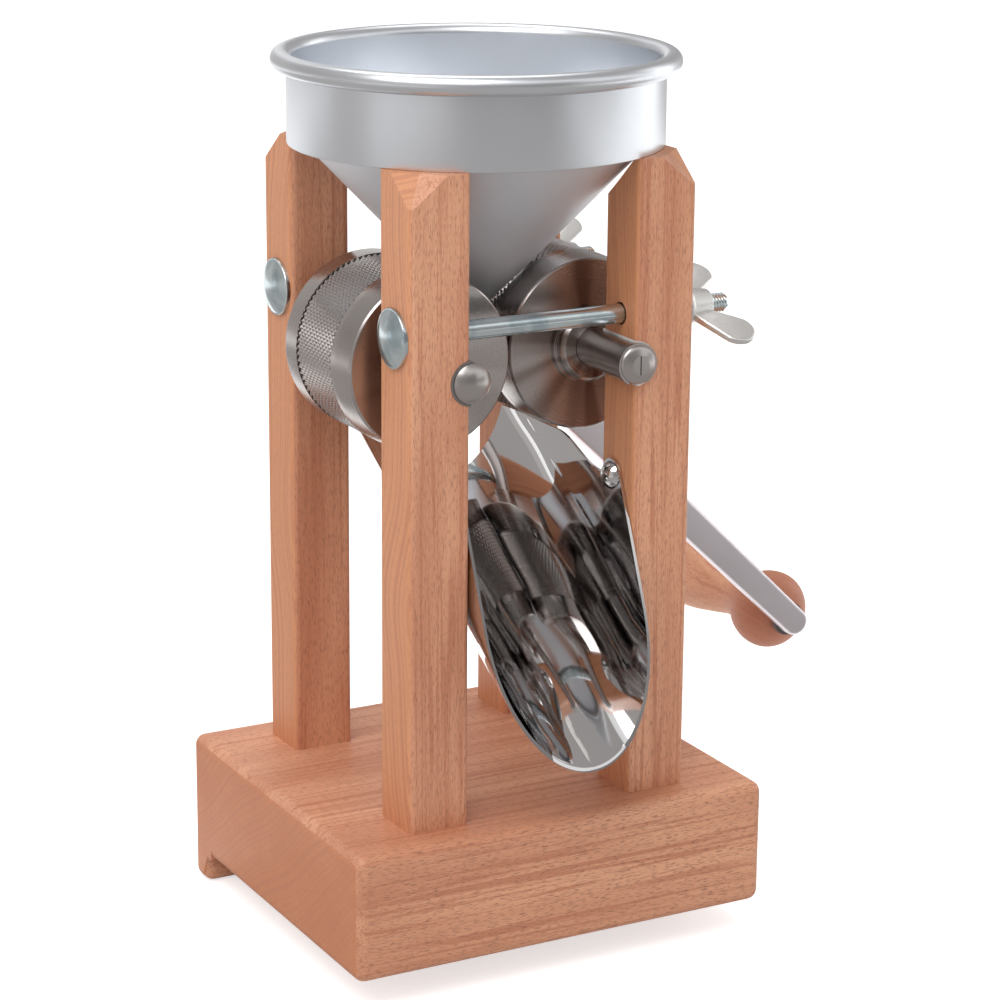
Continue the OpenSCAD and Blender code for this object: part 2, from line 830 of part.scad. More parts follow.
// Bar that narrows from its eye to the handle, with a turned boss on the axle
module crank_arm() {
    flank_end = crank_end_r - rim_tuck;
    boss_l = bar_y - boss_y;
    color(aluminium) translate([axle_x, 0, axle_z]) rotate([0, crank_angle, 0]) difference() {
        union() {
            translate([0, bar_y + crank_t, 0]) rotate([90, 0, 0]) linear_extrude(crank_t) union() {
                circle(r = crank_eye_r);
                translate([crank_l, 0]) circle(r = crank_end_r);
                polygon([
                    [0, -crank_root_r],
                    [0, crank_root_r],
                    [crank_l, flank_end],
                    [crank_l, -flank_end]
                ]);
            }
            translate([0, boss_y, 0]) rod_y(crank_eye_r, boss_l + over);
        }
        translate([0, boss_y - over, 0]) rod_y(axle_r + press_gap, boss_l + crank_t + 2 * over);
        translate([0, boss_y + boss_l / 2, 0]) cylinder(r = grub_r + fit, h = 2 * crank_eye_r);
        translate([crank_l, bar_y + pin_web, 0]) rod_y(pin_r + fit, crank_t);
    }
}

module grub_screw() {
    color(zinc) translate([axle_x, (boss_y + bar_y) / 2, axle_z]) rotate([0, crank_angle, 0])
        translate([0, 0, axle_r + press_gap]) difference() {
            cylinder(r = grub_r, h = grub_l);
            translate([0, 0, grub_l - 1.5]) cylinder(r = grub_r * 0.5, h = 1.5 + over, $fn = 6);
        }
}

// Bolt on which the handle turns, screwed into the crank, its head sunk in the handle
module handle_bolt() {
    near = bar_y + pin_web + fit;
    far = handle_y + handle_l - pin_sink + handle_play;
    color(zinc) translate([pin_x, 0, pin_z]) {
        translate([0, near, 0]) rod_y(pin_r, far - near + over);
        translate([0, far, 0]) rod_y(pin_head_r, pin_head_h);
    }
}

module handle_washer() {
    color(steel) translate([pin_x, bar_y + crank_t, pin_z]) difference() {
        rod_y(pin_washer_r, pin_washer_t);
        translate([0, -over, 0]) rod_y(pin_r + fit, pin_washer_t + 2 * over);
    }
}

// Turned grip: a ball with a flat face, a neck, and a grip that swells and rounds off
module crank_handle() {
    ball_y = 11.5;
    grip_y = 66;
    tail_r = handle_l - grip_y;
    color(beech) translate([pin_x, handle_y, pin_z]) turned_y() difference() {
        union() {
            intersection() {
                translate([0, ball_y]) circle(r = ball_r);
                square([2 * ball_r, neck_y]);
            }
            polygon([
                [0, ball_y],
                [ball_r * cos(48), ball_y + ball_r * sin(48)],
                [neck_r, neck_y],
                [neck_r + 0.3, neck_y + 6],
                [grip_r - 2.2, neck_y + 17],
                [grip_r - 0.5, neck_y + 28],
                [grip_r, grip_y],
                [grip_r - 0.6, grip_y + tail_r * 0.3],
                [grip_r - 2.6, grip_y + tail_r * 0.66],
                [grip_r - 5.6, handle_l - 2],
                [grip_r - 7.6, handle_l],
                [0, handle_l]
            ]);
        }
        translate([-over - ball_r, -over]) square([over + ball_r + pin_r + run_gap, 2 * handle_l]);
        translate([-over, handle_l - pin_sink])
            square([over + pin_head_r + 0.4, pin_sink + over]);
    }
}

base_block();
stop_batten();
batten_screws();
post_front_left();
post_front_right();
post_rear_left();
post_rear_right();
foot_screws();
hopper_band();
hopper_funnel();
roller_left();
roller_right();
axle_left();
axle_right();
collar_left();
collar_right();
spacer_left();
spacer_right();
bush_front_left();
bush_front_right();
bush_rear_left();
bush_rear_right();
retaining_ring();
clamp_bolt_front();
clamp_bolt_rear();
washer_front();
washer_rear();
wing_nut_front();
wing_nut_rear();
chute();
chute_screw_left();
chute_screw_right();
crank_arm();
grub_screw();
handle_bolt();
handle_washer();
crank_handle();
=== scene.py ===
"""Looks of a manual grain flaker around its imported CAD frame. Metres, same frame as the CAD."""

import math

import bmesh
import bpy
import numpy as np
from bpy.props import FloatProperty, FloatVectorProperty, IntProperty, PointerProperty
from mathutils import Matrix, Vector


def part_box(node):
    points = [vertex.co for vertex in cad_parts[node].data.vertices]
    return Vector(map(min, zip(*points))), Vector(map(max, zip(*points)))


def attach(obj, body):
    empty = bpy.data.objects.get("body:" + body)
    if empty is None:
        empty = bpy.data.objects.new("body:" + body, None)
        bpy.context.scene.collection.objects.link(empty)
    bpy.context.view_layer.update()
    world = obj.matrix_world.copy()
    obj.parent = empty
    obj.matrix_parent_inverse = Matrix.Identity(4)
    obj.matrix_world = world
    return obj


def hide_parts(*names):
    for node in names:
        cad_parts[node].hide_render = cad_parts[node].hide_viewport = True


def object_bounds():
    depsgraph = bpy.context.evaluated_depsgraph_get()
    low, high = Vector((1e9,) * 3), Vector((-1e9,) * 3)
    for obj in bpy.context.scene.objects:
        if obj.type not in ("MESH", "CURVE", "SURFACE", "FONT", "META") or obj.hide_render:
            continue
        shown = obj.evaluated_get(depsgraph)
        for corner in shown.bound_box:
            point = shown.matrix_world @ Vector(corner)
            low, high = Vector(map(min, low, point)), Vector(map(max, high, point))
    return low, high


bl_info = {
    "name": "Grain flaker",
    "version": (1, 0, 0),
    "blender": (4, 5, 0),
    "location": "3D View > Sidebar > Flaker",
    "description": "Surfaces, finishes and studio of a manual grain flaker",
    "category": "Object",
}

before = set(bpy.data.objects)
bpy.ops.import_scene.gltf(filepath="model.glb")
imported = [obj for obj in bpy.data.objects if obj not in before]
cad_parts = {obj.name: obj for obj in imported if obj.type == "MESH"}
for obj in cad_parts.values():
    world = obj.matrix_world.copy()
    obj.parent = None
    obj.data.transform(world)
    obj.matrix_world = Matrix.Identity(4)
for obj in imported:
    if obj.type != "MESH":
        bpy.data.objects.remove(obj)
CAD_BOX = [list(v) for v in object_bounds()]
MM = 0.001


def box(node):
    """Lowest and highest corner of a CAD node as arrays."""
    low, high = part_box(node)
    return np.array(low), np.array(high)


ROLLER_LOW, ROLLER_HIGH = box("roller_right")
AXLE_X = (ROLLER_LOW[0] + ROLLER_HIGH[0]) / 2
AXLE_Z = (ROLLER_LOW[2] + ROLLER_HIGH[2]) / 2
ROLLER_R = (ROLLER_HIGH[0] - ROLLER_LOW[0]) / 2
POST_LOW, POST_HIGH = box("post_rear_right")
POST_X = (POST_LOW[0] + POST_HIGH[0]) / 2
POST_Y = (POST_LOW[1] + POST_HIGH[1]) / 2
AXLE_BORE = 6.05 * MM
ROD_R, ROD_BORE = 3 * MM, 3.05 * MM
STEP = 0.05 * MM  # length of a wall in a profile that stands for a square one
# Turns a point whose z lies along an axis into the frame
ACROSS = {
    "x": np.array([[0, 1, 0], [0, 0, 1], [1, 0, 0]], float),
    "y": np.array([[0, 0, 1], [1, 0, 0], [0, 1, 0]], float),
    "z": np.eye(3),
}


# Surfaces


def rounded(corners, radius, steps=5):
    """Line with corners cut back by radius and bridged by (1-t)^2 a + 2t(1-t) corner + t^2 b."""
    corners = np.array(corners, float)
    radius = np.broadcast_to(np.asarray(radius, float), len(corners))

    def towards(other):
        leg = other - corners
        length = np.maximum(np.linalg.norm(leg, axis=1), 1e-12)
        return corners + leg * (np.minimum(radius, 0.48 * length) / length)[:, None]

    a, b = towards(np.roll(corners, 1, 0)), towards(np.roll(corners, -1, 0))
    t = np.linspace(0, 1, steps)[None, :, None]
    line = (1 - t) ** 2 * a[:, None] + 2 * t * (1 - t) * corners[:, None] + t**2 * b[:, None]
    line = line.reshape(-1, corners.shape[1])
    return line[np.r_[True, np.linalg.norm(np.diff(line, axis=0), axis=1) > 1e-8]]


def flowing(knots, count):
    """Line of cubics through the knots, count points to each, whose slope at a knot is half the
    step between its neighbours (Catmull-Rom)."""
    knots = np.array(knots, float)
    p = np.vstack([2 * knots[0] - knots[1], knots, 2 * knots[-1] - knots[-2]])
    t = np.linspace(0, 1, count, endpoint=False)[None, :, None]
    a, b, c, d = (p[i : len(p) - 3 + i, None] for i in range(4))
    line = 0.5 * (2 * b + (c - a) * t + (2 * a - 5 * b + 4 * c - d) * t**2
                  + (3 * b - a - 3 * c + d) * t**3)
    return np.vstack([line.reshape(-1, knots.shape[1]), knots[-1]])


def quads(rows, columns, wrap_rows=False, wrap_columns=True):
    """Faces of a grid of points kept row by row, with sides that wrap where asked."""
    i = np.arange(rows if wrap_rows else rows - 1)[:, None]
    j = np.arange(columns if wrap_columns else columns - 1)[None, :]
    i2, j2 = (i + 1) % rows, (j + 1) % columns
    return np.stack([i * columns + j, i * columns + j2, i2 * columns + j2, i2 * columns + j],
                    -1).reshape(-1, 4)


def creased(faces, depth):
    """Splits quads along the diagonal on which depth is greater, so that grooves stay straight."""
    first = depth[faces[:, 0]] + depth[faces[:, 2]] >= depth[faces[:, 1]] + depth[faces[:, 3]]
    pick = np.where(first[:, None], [[0, 1, 2, 0, 2, 3]], [[1, 2, 3, 1, 3, 0]])
    return np.take_along_axis(faces, pick, 1).reshape(-1, 3)


def turned(profile, centre, along, segments=160, closed=False, cut=None):
    """Profile of (radius, height) turned about an axis: (r cos a, r sin a, h), r less a cut."""
    profile = np.array(profile, float)
    a = np.linspace(0, 2 * math.pi, segments, endpoint=False)[None, :]
    r = profile[:, :1] - (0 if cut is None else cut)
    h = np.broadcast_to(profile[:, 1:], (len(profile), segments))
    points = np.stack([r * np.cos(a), r * np.sin(a), h], -1)
    faces = quads(len(profile), segments, wrap_rows=closed)
    faces = (faces if cut is None else creased(faces, cut.ravel())).tolist()
    if not closed:
        last = (len(profile) - 1) * segments
        faces += [list(range(segments))[::-1], list(range(last, last + segments))]
    return points.reshape(-1, 3) @ ACROSS[along] + np.array(centre, float), faces


def cap(radius, height, count, first=0.02):
    """Profile of a spherical cap of radius R from its top, a share first off the axis, outwards:
    (r, R - sqrt(R^2 - r^2))."""
    sphere = (radius**2 + height**2) / (2 * height)
    r = np.linspace(first, 1, count) * radius
    return np.stack([r, sphere - np.sqrt(sphere**2 - r**2)], -1)


def plate(outline, thickness, edge, taper=lambda outline: 1.0):
    """Flat plate with rounded edges: the outline drawn in by e(1 - sin t) at height e(1 - cos t).

    taper turns the outline into the share of the thickness that is left at each of its points."""
    ahead, behind = np.roll(outline, -1, 0), np.roll(outline, 1, 0)
    along = ahead - behind
    inwards = np.stack([-along[:, 1], along[:, 0]], -1) / np.linalg.norm(along, axis=1)[:, None]
    t = np.linspace(0, math.pi / 2, 7)
    inset = edge * np.r_[1 - np.sin(t), (1 - np.sin(t))[::-1]]
    level = np.r_[edge * (1 - np.cos(t)), thickness - edge * (1 - np.cos(t))[::-1]]
    flat = outline + inset[:, None, None] * inwards
    height = (level[:, None] - thickness / 2) * taper(outline) + thickness / 2
    height = np.broadcast_to(height, flat.shape[:2])
    rows, columns = flat.shape[:2]
    faces = quads(rows, columns).tolist()
    faces += [list(range(columns)), list(range((rows - 1) * columns, rows * columns))]
    return np.concatenate([flat, height[..., None]], -1).reshape(-1, 3), faces


def beam(outline, start, end):
    """Straight beam along x: one outline of (y, z), counterclockwise, repeated at both ends."""
    points = np.array([[x, *corner] for x in (end, start) for corner in outline])
    count = len(outline)
    faces = quads(2, count).tolist() + [list(range(count)), list(range(count, 2 * count))]
    return points, faces


def eased(made, radius, sharp):
    """Rounds a beam's edges by a bevel on weighted edges.

    sharp is a list of corners (y, z). The edges between two of them stay as they are."""
    mesh = made.data
    ends = np.zeros(len(mesh.edges) * 2, int)
    mesh.edges.foreach_get("vertices", ends)
    points = np.zeros(len(mesh.vertices) * 3)
    mesh.vertices.foreach_get("co", points)
    off = points.reshape(-1, 1, 3)[..., 1:] - np.array(sharp)[None]
    kept = (np.linalg.norm(off, axis=2) < 1e-6).any(1)[ends.reshape(-1, 2)].all(1)
    mesh.attributes.new("bevel_weight_edge", "FLOAT", "EDGE").data.foreach_set(
        "value", 1.0 - kept.astype(float))
    mesh.attributes["sharp_edge"].data.foreach_set("value", kept)
    round_off = made.modifiers.new("eased_edges", "BEVEL")
    round_off.limit_method, round_off.width, round_off.segments = "WEIGHT", radius, 6
    round_off.harden_normals = True


def outwards(mesh):
    """Turns the faces of a closed mesh outwards after near doubles are merged."""
    work = bmesh.new()
    work.from_mesh(mesh)
    bmesh.ops.remove_doubles(work, verts=work.verts, dist=1e-7)
    bmesh.ops.dissolve_degenerate(work, edges=work.edges, dist=1e-8)
    bmesh.ops.recalc_face_normals(work, faces=work.faces)
    work.to_mesh(mesh)
    work.free()


def piece(name, shells, finish, body, stands_for, crease=32.0):
    """Puts closed shells of points and faces into one piece that rides on a CAD body."""
    points, faces, start = [], [], 0
    for shell_points, shell_faces in shells:
        points.append(shell_points)
        faces += [[start + v for v in face] for face in shell_faces]
        start += len(shell_points)
    mesh = bpy.data.meshes.new(name)
    mesh.from_pydata(np.vstack(points).tolist(), [], faces)
    outwards(mesh)
    mesh.shade_smooth()
    mesh.set_sharp_from_angle(angle=math.radians(crease))
    mesh.materials.append(finish)
    made = bpy.data.objects.new(name, mesh)
    bpy.context.scene.collection.objects.link(made)
    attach(made, body)
    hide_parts(*stands_for)
    return made


def dress(finish, *nodes):
    """Gives CAD nodes their finish."""
    for node in nodes:
        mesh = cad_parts[node].data
        mesh.materials.clear()
        mesh.materials.append(finish)


# Finishes


class Value:
    """A shader socket on which arithmetic adds Math nodes."""

    def __init__(self, nodes, socket):
        self.nodes, self.socket = nodes, socket

    def math(self, operation, first, second=0.0):
        return self.nodes.node("Math", {"operation": operation}, {0: first, 1: second})

    def __add__(self, other):
        return self.math("ADD", self, other)

    __radd__ = __add__

    def __sub__(self, other):
        return self.math("SUBTRACT", self, other)

    def __rsub__(self, other):
        return self.math("SUBTRACT", other, self)

    def __mul__(self, other):
        return self.math("MULTIPLY", self, other)

    __rmul__ = __mul__

    def __pow__(self, other):
        return self.math("POWER", self, other)

    def __abs__(self):
        return self.math("ABSOLUTE", self)

    def below(self, other):
        return self.math("LESS_THAN", self, other)

    def above(self, other):
        return self.math("GREATER_THAN", self, other)

    def between(self, low, high):
        """0 below low, 1 above high, smooth between them."""
        return self.nodes.node("MapRange", {"interpolation_type": "SMOOTHSTEP"},
                               {"Value": self, "From Min": low, "From Max": high})


class Nodes:
    """Adds shader nodes to a tree."""

    def __init__(self, tree):
        self.tree = tree
        tree.nodes.clear()

    def node(self, kind, settings=None, values=None, output=0):
        """Adds a node: its settings first, then a value or a link for each named socket."""
        made = self.tree.nodes.new("ShaderNode" + kind)
        for name, value in (settings or {}).items():
            setattr(made, name, value)
        for name, value in (values or {}).items():
            if isinstance(value, Value):
                self.tree.links.new(value.socket, made.inputs[name])
            else:
                made.inputs[name].default_value = value
        return Value(self, made.outputs[output])

    def outputs(self, of, names):
        """Several outputs of the node that a value comes from."""
        return [Value(self, of.socket.node.outputs[name]) for name in names]

    def seen(self):
        """1 for rays from the camera, straight, mirrored or through glass, and 0 for the rest."""
        path = self.node("LightPath")
        straight, mirrored, through = self.outputs(
            path, ("Is Camera Ray", "Is Glossy Ray", "Is Transmission Ray"))
        return path.math("MAXIMUM", path.math("MAXIMUM", straight, mirrored), through)

    def end(self, shader, kind):
        """Joins a shader to the tree's output."""
        last = self.tree.nodes.new("ShaderNodeOutput" + kind)
        self.tree.links.new(shader.socket, last.inputs["Surface"])


class Finish(Nodes):
    """One procedural material."""

    def __init__(self, name):
        self.material = bpy.data.materials.new(name)
        self.material.use_nodes = True
        super().__init__(self.material.node_tree)

    def place(self, stretch=(1, 1, 1)):
        """Object coordinates, each multiplied by a number."""
        here = self.node("TexCoord", output=3)
        return self.node("VectorMath", {"operation": "MULTIPLY"}, {0: here, 1: stretch})

    def axes(self):
        """Object coordinates as three values."""
        here = self.node("SeparateXYZ", None, {0: self.node("TexCoord", output=3)})
        return self.outputs(here, range(3))

    def noise(self, vector, scale, detail=2.0, roughness=0.5, distortion=0.0):
        return self.node("TexNoise", {"noise_dimensions": "3D"},
                         {"Vector": vector, "Scale": scale, "Detail": detail,
                          "Roughness": roughness, "Distortion": distortion})

    def lines(self, along, scale):
        """Noise of one value, which draws lines across it."""
        return self.node("TexNoise", {"noise_dimensions": "1D"},
                         {"W": along, "Scale": scale, "Detail": 2.0})

    def mix(self, share, first, second):
        return self.node("Mix", {"data_type": "RGBA"}, {0: share, 6: first, 7: second}, output=2)

    def bump(self, height, distance, strength=1.0):
        return self.node("Bump", None,
                         {"Height": height, "Distance": distance, "Strength": strength})

    def shade(self, **sockets):
        """Ends the finish with one shader; underscores stand for spaces in its sockets' names."""
        values = {name.replace("_", " "): value for name, value in sockets.items()}
        return self.surface(self.node("BsdfPrincipled", None, values))

    def surface(self, shader):
        """Ends the finish with a shader of any kind."""
        self.end(shader, "Material")
        return self.material


def colour(value):
    return (*value[:3], 1.0)


def beech(name, grain, light, dark, fleck, flecks, side, side_tone=(0.68, 0.29, 0.13)):
    """Steamed beech: slow tone, fine streaks along the grain, and short dark flecks.

    grain is the axis of the grain. side is a function of the three axes that gives 1 on faces cut
    across the rays, where streaks show more and flecks less."""
    f = Finish(name)

    def stretched(along, across):
        return f.place([along if axis == grain else across for axis in "xyz"])

    slow = f.noise(stretched(5, 45), 1.0, 3.0, 0.55, 0.6)
    wavy = f.noise(stretched(9, 430), 1.0, 2.0, 0.55, 1.2)
    fibres = f.noise(stretched(30, 1500), 1.0, 3.0, 0.6)
    spots = f.noise(stretched(430, 3600), 1.0, 1.0, 0.5)
    x, y, z = f.axes()
    across_rays = side(x, y, z)
    ahead = {"x": y * 0.6 + z * 0.8, "y": x * 0.6 + z * 0.8, "z": x * 0.6 + y * 0.8}[grain]
    strength = (1.0 - across_rays * 0.55) * flecks
    tone = (slow - 0.5) * 1.2 + (fibres - 0.5) * 0.35 + 0.55
    wood = f.mix(tone.between(0.1, 0.9), colour(dark), colour(light))
    streak = wavy.between(0.5, 0.66) * (1.0 - across_rays * 0.6)
    wood = f.mix(streak * 0.8, wood, colour(dark))
    wood = f.mix(across_rays * 0.78, wood, colour(side_tone))
    rings = f.lines(f.noise(f.place((1, 12, 12)), 1.0, 1.0) * 0.03 + ahead, 700.0)
    wood = f.mix(rings.between(0.42, 0.66) * across_rays * 0.6, wood, colour(dark))
    mark = spots.between(0.56, 0.65) * strength
    wood = f.mix(mark * 0.6, wood, colour(fleck))
    height = fibres * 0.4 - mark * 0.5 - streak * 0.15
    return f.shade(Base_Color=wood, Roughness=0.48 + fibres * 0.1, Coat_Weight=0.05,
                   Coat_Roughness=0.35, Normal=f.bump(height, 0.0001, 0.5))


def turned_metal(name, tint, roughness, reach, pitch, depth, fan=None, fan_share=None, mark=None):
    """Metal with fine tool rings, and where asked with painted reflections: pale and dark
    fan-shaped sectors round the axle, as a faced end reflects its surroundings.

    reach turns the three axes into the value that the rings follow, fan turns them into an offset
    from the axle whose direction alone counts, fan_share into the strength of the painted
    reflection, and mark into a share of painted shade."""
    f = Finish(name)
    rings = f.lines(reach(*f.axes()), 1 / pitch)
    cloud = f.noise(f.place(), 55, 3.0)
    shade = f.mix(cloud * 0.2, colour(tint), colour([c * 0.72 for c in tint]))
    if fan:
        across, up = fan(*f.axes())
        offset = f.node("CombineXYZ", None, {0: across, 1: up})
        towards = f.node("VectorMath", {"operation": "NORMALIZE"}, {0: offset})
        # Painted reflection: dark brownish fan-shaped sectors round the axle, as a faced end
        # reflects its surroundings, between sectors of the plain tint.
        shade = f.mix(f.noise(towards, 1.9, 1.0).between(0.42, 0.58) * fan_share(*f.axes()), shade,
                      colour([tint[0] * 0.4, tint[1] * 0.31, tint[2] * 0.27]))
    # Painted shade: near black where mark is 1, for a recess that is not cut into the shape.
    if mark:
        shade = f.mix(mark(*f.axes()) * 0.95, shade, colour([c * 0.1 for c in tint]))
    return f.shade(Base_Color=shade, Metallic=1.0,
                   Roughness=roughness + (rings - 0.5) * 0.03 + (cloud - 0.5) * 0.06,
                   Normal=f.bump(rings, depth))


def plated(name, tint, roughness, second=None):
    """Bright plating with a faint clouding and small marks."""
    f = Finish(name)
    cloud = f.noise(f.place(), 130, 3.0)
    marks = f.noise(f.place(), 900, 2.0)
    other = second or [c * 0.8 for c in tint]
    return f.shade(Base_Color=f.mix(cloud.between(0.4, 0.65), colour(tint), colour(other)),
                   Metallic=1.0, Roughness=roughness + (marks - 0.5) * 0.08,
                   Normal=f.bump(marks, 0.00001))


def cast(name, tint):
    """Sand-like cast skin, sparkling, with polished high places."""
    f = Finish(name)
    grit = f.noise(f.place(), 1700, 3.0, 0.65)
    lumps = f.noise(f.place(), 320, 2.0)
    return f.shade(Base_Color=f.mix(grit, colour([c * 0.82 for c in tint]), colour(tint)),
                   Metallic=1.0, Roughness=0.3 + grit * 0.16,
                   Normal=f.bump(grit * 0.7 + lumps * 0.6, 0.00016, 0.8))


def brushed_bar(name, tint):
    """Drawn aluminium with faint lines and handling marks."""
    f = Finish(name)
    drawn = f.noise(f.place((350, 60, 350)), 1.0, 3.0)
    marks = f.noise(f.place(), 70, 3.0)
    return f.shade(Base_Color=f.mix(marks, colour([c * 0.9 for c in tint]), colour(tint)),
                   Metallic=1.0, Roughness=0.4 + (drawn - 0.5) * 0.16 + (marks - 0.5) * 0.1,
                   Normal=f.bump(drawn, 0.00004, 0.5))


def plastic(name, tint):
    f = Finish(name)
    cloud = f.noise(f.place(), 240, 2.0)
    return f.shade(Base_Color=f.mix(cloud, colour([c * 0.93 for c in tint]), colour(tint)),
                   Roughness=0.36 + cloud * 0.08, Normal=f.bump(cloud, 0.00003, 0.4))


# Properties


def length(name, default, description):
    return FloatProperty(name=name, description=description, default=default, unit="LENGTH",
                         precision=5)


def number(name, default, description, subtype="NONE"):
    return FloatProperty(name=name, description=description, default=default, subtype=subtype)


def tone(name, default, description):
    return FloatVectorProperty(name=name, description=description, default=default,
                               subtype="COLOR")


class FlakerSizes(bpy.types.PropertyGroup):
    base_round: length("Block rounding", 3.6 * MM, "Rounding of the block's edges")
    batten_round: length("Batten rounding", 3.4 * MM, "Rounding of the batten")
    knurl_around: IntProperty(name="Knurls around", description="Diamonds round a roller",
                              default=84, min=40, max=120)
    knurl_rows: IntProperty(name="Knurl rows", description="Diamonds along the knurled band",
                            default=10, min=6, max=18)
    knurl_depth: length("Knurl depth", 0.75 * MM, "Depth of the knurl's grooves")
    thread_pitch: length("Thread pitch", 1.0 * MM, "Pitch of the clamp bolts")
    thread_depth: length("Thread depth", 0.5 * MM, "Depth of that thread")
    chute_wave: length("Chute wave", 0.2 * MM, "Height of the dents in the chute")
    bar_round: length("Bar rounding", 1.5 * MM, "Rounding of the crank bar's edges")


class FlakerFinishes(bpy.types.PropertyGroup):
    beech_light: tone("Light beech", (0.78, 0.395, 0.235), "Pale tone of the wood")
    beech_dark: tone("Dark beech", (0.53, 0.2, 0.105), "Deep tone of the wood")
    beech_fleck: tone("Flecks", (0.27, 0.1, 0.06), "Short dark marks in the wood")
    handle_light: tone("Light handle", (0.78, 0.4, 0.23), "Pale tone of the handle")
    handle_dark: tone("Dark handle", (0.55, 0.21, 0.115), "Deep tone of the handle")
    aluminium: tone("Aluminium", (0.75, 0.775, 0.81), "Spun hopper")
    steel: tone("Steel", (0.5, 0.465, 0.45), "Rollers, collars and axles")
    zinc: tone("Zinc", (0.66, 0.73, 0.75), "Bolts, washers and screws")
    mirror: tone("Mirror steel", (0.7, 0.69, 0.69), "Sheet of the chute")
    casting: tone("Casting", (0.9, 0.89, 0.87), "Wing nuts")
    bar: tone("Bar", (0.76, 0.715, 0.745), "Crank bar")
    bush: tone("Bush", (0.83, 0.82, 0.79), "Plastic bushes")


class FlakerStage(bpy.types.PropertyGroup):
    lens: number("Lens", 111.7, "Focal length in millimetres", "DISTANCE_CAMERA")
    ambient: number("Ambient", 0.68, "Level of the world's light")
    key: number("Key", 5.6, "Power of the large lamp", "POWER")
    fill: number("Fill", 2.2, "Power of the side lamp and of the top lamp", "POWER")
    flag: number("Flags", 0.3, "Grey of the cards that metal reflects")


# Operators


class FLAKER_OT_stand(bpy.types.Operator):
    """Round the block and the stop batten, and finish them, the posts and the screws"""

    bl_idname = "flaker.stand"
    bl_label = "Stand"

    def execute(self, context):
        s, c = context.scene.flaker_sizes, context.scene.flaker_finishes
        base_low, base_high = box("base_block")
        skin, lip, spare = 0.4 * MM, 0.5 * MM, 0.1 * MM
        edge = min(base_high[0], -base_low[0]) - skin

        def post_side(x, y, z):
            """Left and right faces: further from the post's middle along x than along y."""
            return (abs(abs(x) - POST_X) - abs(abs(y) - POST_Y)).between(-skin, skin)

        def base_end(x, y, z):
            """Left and right ends of the block."""
            return abs(x).above(edge)

        dress(beech("beech_post", "z", c.beech_light, c.beech_dark, c.beech_fleck, 0.8,
                    post_side),
              "post_front_left", "post_front_right", "post_rear_left", "post_rear_right")
        wood = beech("beech_base", "x", c.beech_light, c.beech_dark, c.beech_fleck, 1.0,
                     base_end, (0.58, 0.205, 0.085))
        batten_low = box("stop_batten")[0]
        face_y = batten_low[1] + lip
        seat, lip_y = s.base_round + spare, face_y - s.batten_round - spare
        block = [(base_low[1], 0), (lip_y, 0), (lip_y, seat), (base_high[1], seat),
                 (base_high[1], base_high[2]), (base_low[1], base_high[2])]
        batten = [(face_y, batten_low[2]), (base_high[1], batten_low[2]), (base_high[1], seat),
                  (lip_y, seat), (lip_y, 0), (face_y, 0)]
        for name, outline, sharp, radius, node in (
            ("rounded_block", block, block[1:4], s.base_round, "base_block"),
            ("rounded_batten", batten, batten[2:], s.batten_round, "stop_batten"),
        ):
            made = piece(name, [beam(outline, base_low[0], base_high[0])], wood, "stand",
                         [node])
            eased(made, radius, sharp)
        dress(plated("zinc_screw", c.zinc, 0.3), "foot_screws", "batten_screws")
        return {"FINISHED"}


class FLAKER_OT_hopper(bpy.types.Operator):
    """Spin the hopper's band with its rolled rim and cut its funnel over the rollers"""

    bl_idname = "flaker.hopper"
    bl_label = "Hopper"

    def execute(self, context):
        low, high = box("hopper_band")
        funnel_low, funnel_high = box("hopper_funnel")
        aluminium, ring_pitch = context.scene.flaker_finishes.aluminium, 0.5 * MM
        finish = turned_metal("spun_aluminium", aluminium, 0.33, lambda x, y, z: z, ring_pitch,
                              0.004 * MM)
        matt = turned_metal("spun_cone", [v * 1.22 for v in aluminium], 0.62,
                            lambda x, y, z: z, ring_pitch, 0.003 * MM)
        band_in, rim_r, sheet, rim_gap = funnel_high[0], 3.1 * MM, 1.5 * MM, 1.6 * MM
        band_out, rim_c = band_in + sheet, band_in + rim_r
        rim_z = high[2] - rim_r
        curl_from, curl_to = 246, 540
        turn = np.radians(np.linspace(curl_from, curl_to, 60))
        curl = np.stack([rim_c + rim_r * np.cos(turn), rim_z + rim_r * np.sin(turn)], -1)
        foot = rounded([[band_in, low[2]], [band_out, low[2]], [band_out, rim_z - rim_gap],
                        [band_out + 0.3 * MM, rim_z - rim_gap]], [0.4 * MM, 0.4 * MM, 0, 0])
        profile = np.vstack([foot[:-1], curl])
        piece("hopper_rim_band", [turned(profile, (0, 0, 0), "z", 320, closed=True)], finish,
              "hopper", ["hopper_band"])

        joint_z, flap_z, wall = low[2] + 4 * MM, funnel_low[2], 1.3 * MM
        saddle, point_z = ROLLER_R + 0.8 * MM, AXLE_Z + 7.2 * MM
        slope = band_in / (joint_z - point_z)
        a = np.linspace(0, 2 * math.pi, 480, endpoint=False)
        rise, fine = np.linspace(0, 1, 90)[:, None], 1500

        def cone(inset, top):
            """Cone r = slope (z - point) - inset, up to top. Its lower edge lies at the highest z
            on each of the cone's lines that is still inside a roller's saddle."""
            z = np.linspace(flap_z, top, fine)[:, None]
            r = slope * (z - point_z) - inset
            x, y = r * np.cos(a), r * np.sin(a)
            inside = (np.abs(x) - AXLE_X) ** 2 + (z - AXLE_Z) ** 2 < saddle**2
            inside &= np.abs(y) < ROLLER_R
            cut = np.where(inside, z, flap_z).max(0)
            z = cut + (top - cut) * rise
            r = slope * (z - point_z) - inset
            return np.stack([r * np.cos(a), r * np.sin(a), z], -1)

        thick = wall * math.sqrt(1 + slope**2)
        outer, inner = cone(0, joint_z), cone(thick, joint_z + thick / slope)
        points = np.vstack([outer, inner[::-1]])
        faces = quads(len(points), len(a), wrap_rows=True).tolist()
        piece("hopper_cone", [(points.reshape(-1, 3), faces)], matt, "hopper",
              ["hopper_funnel"], 40)
        return {"FINISHED"}


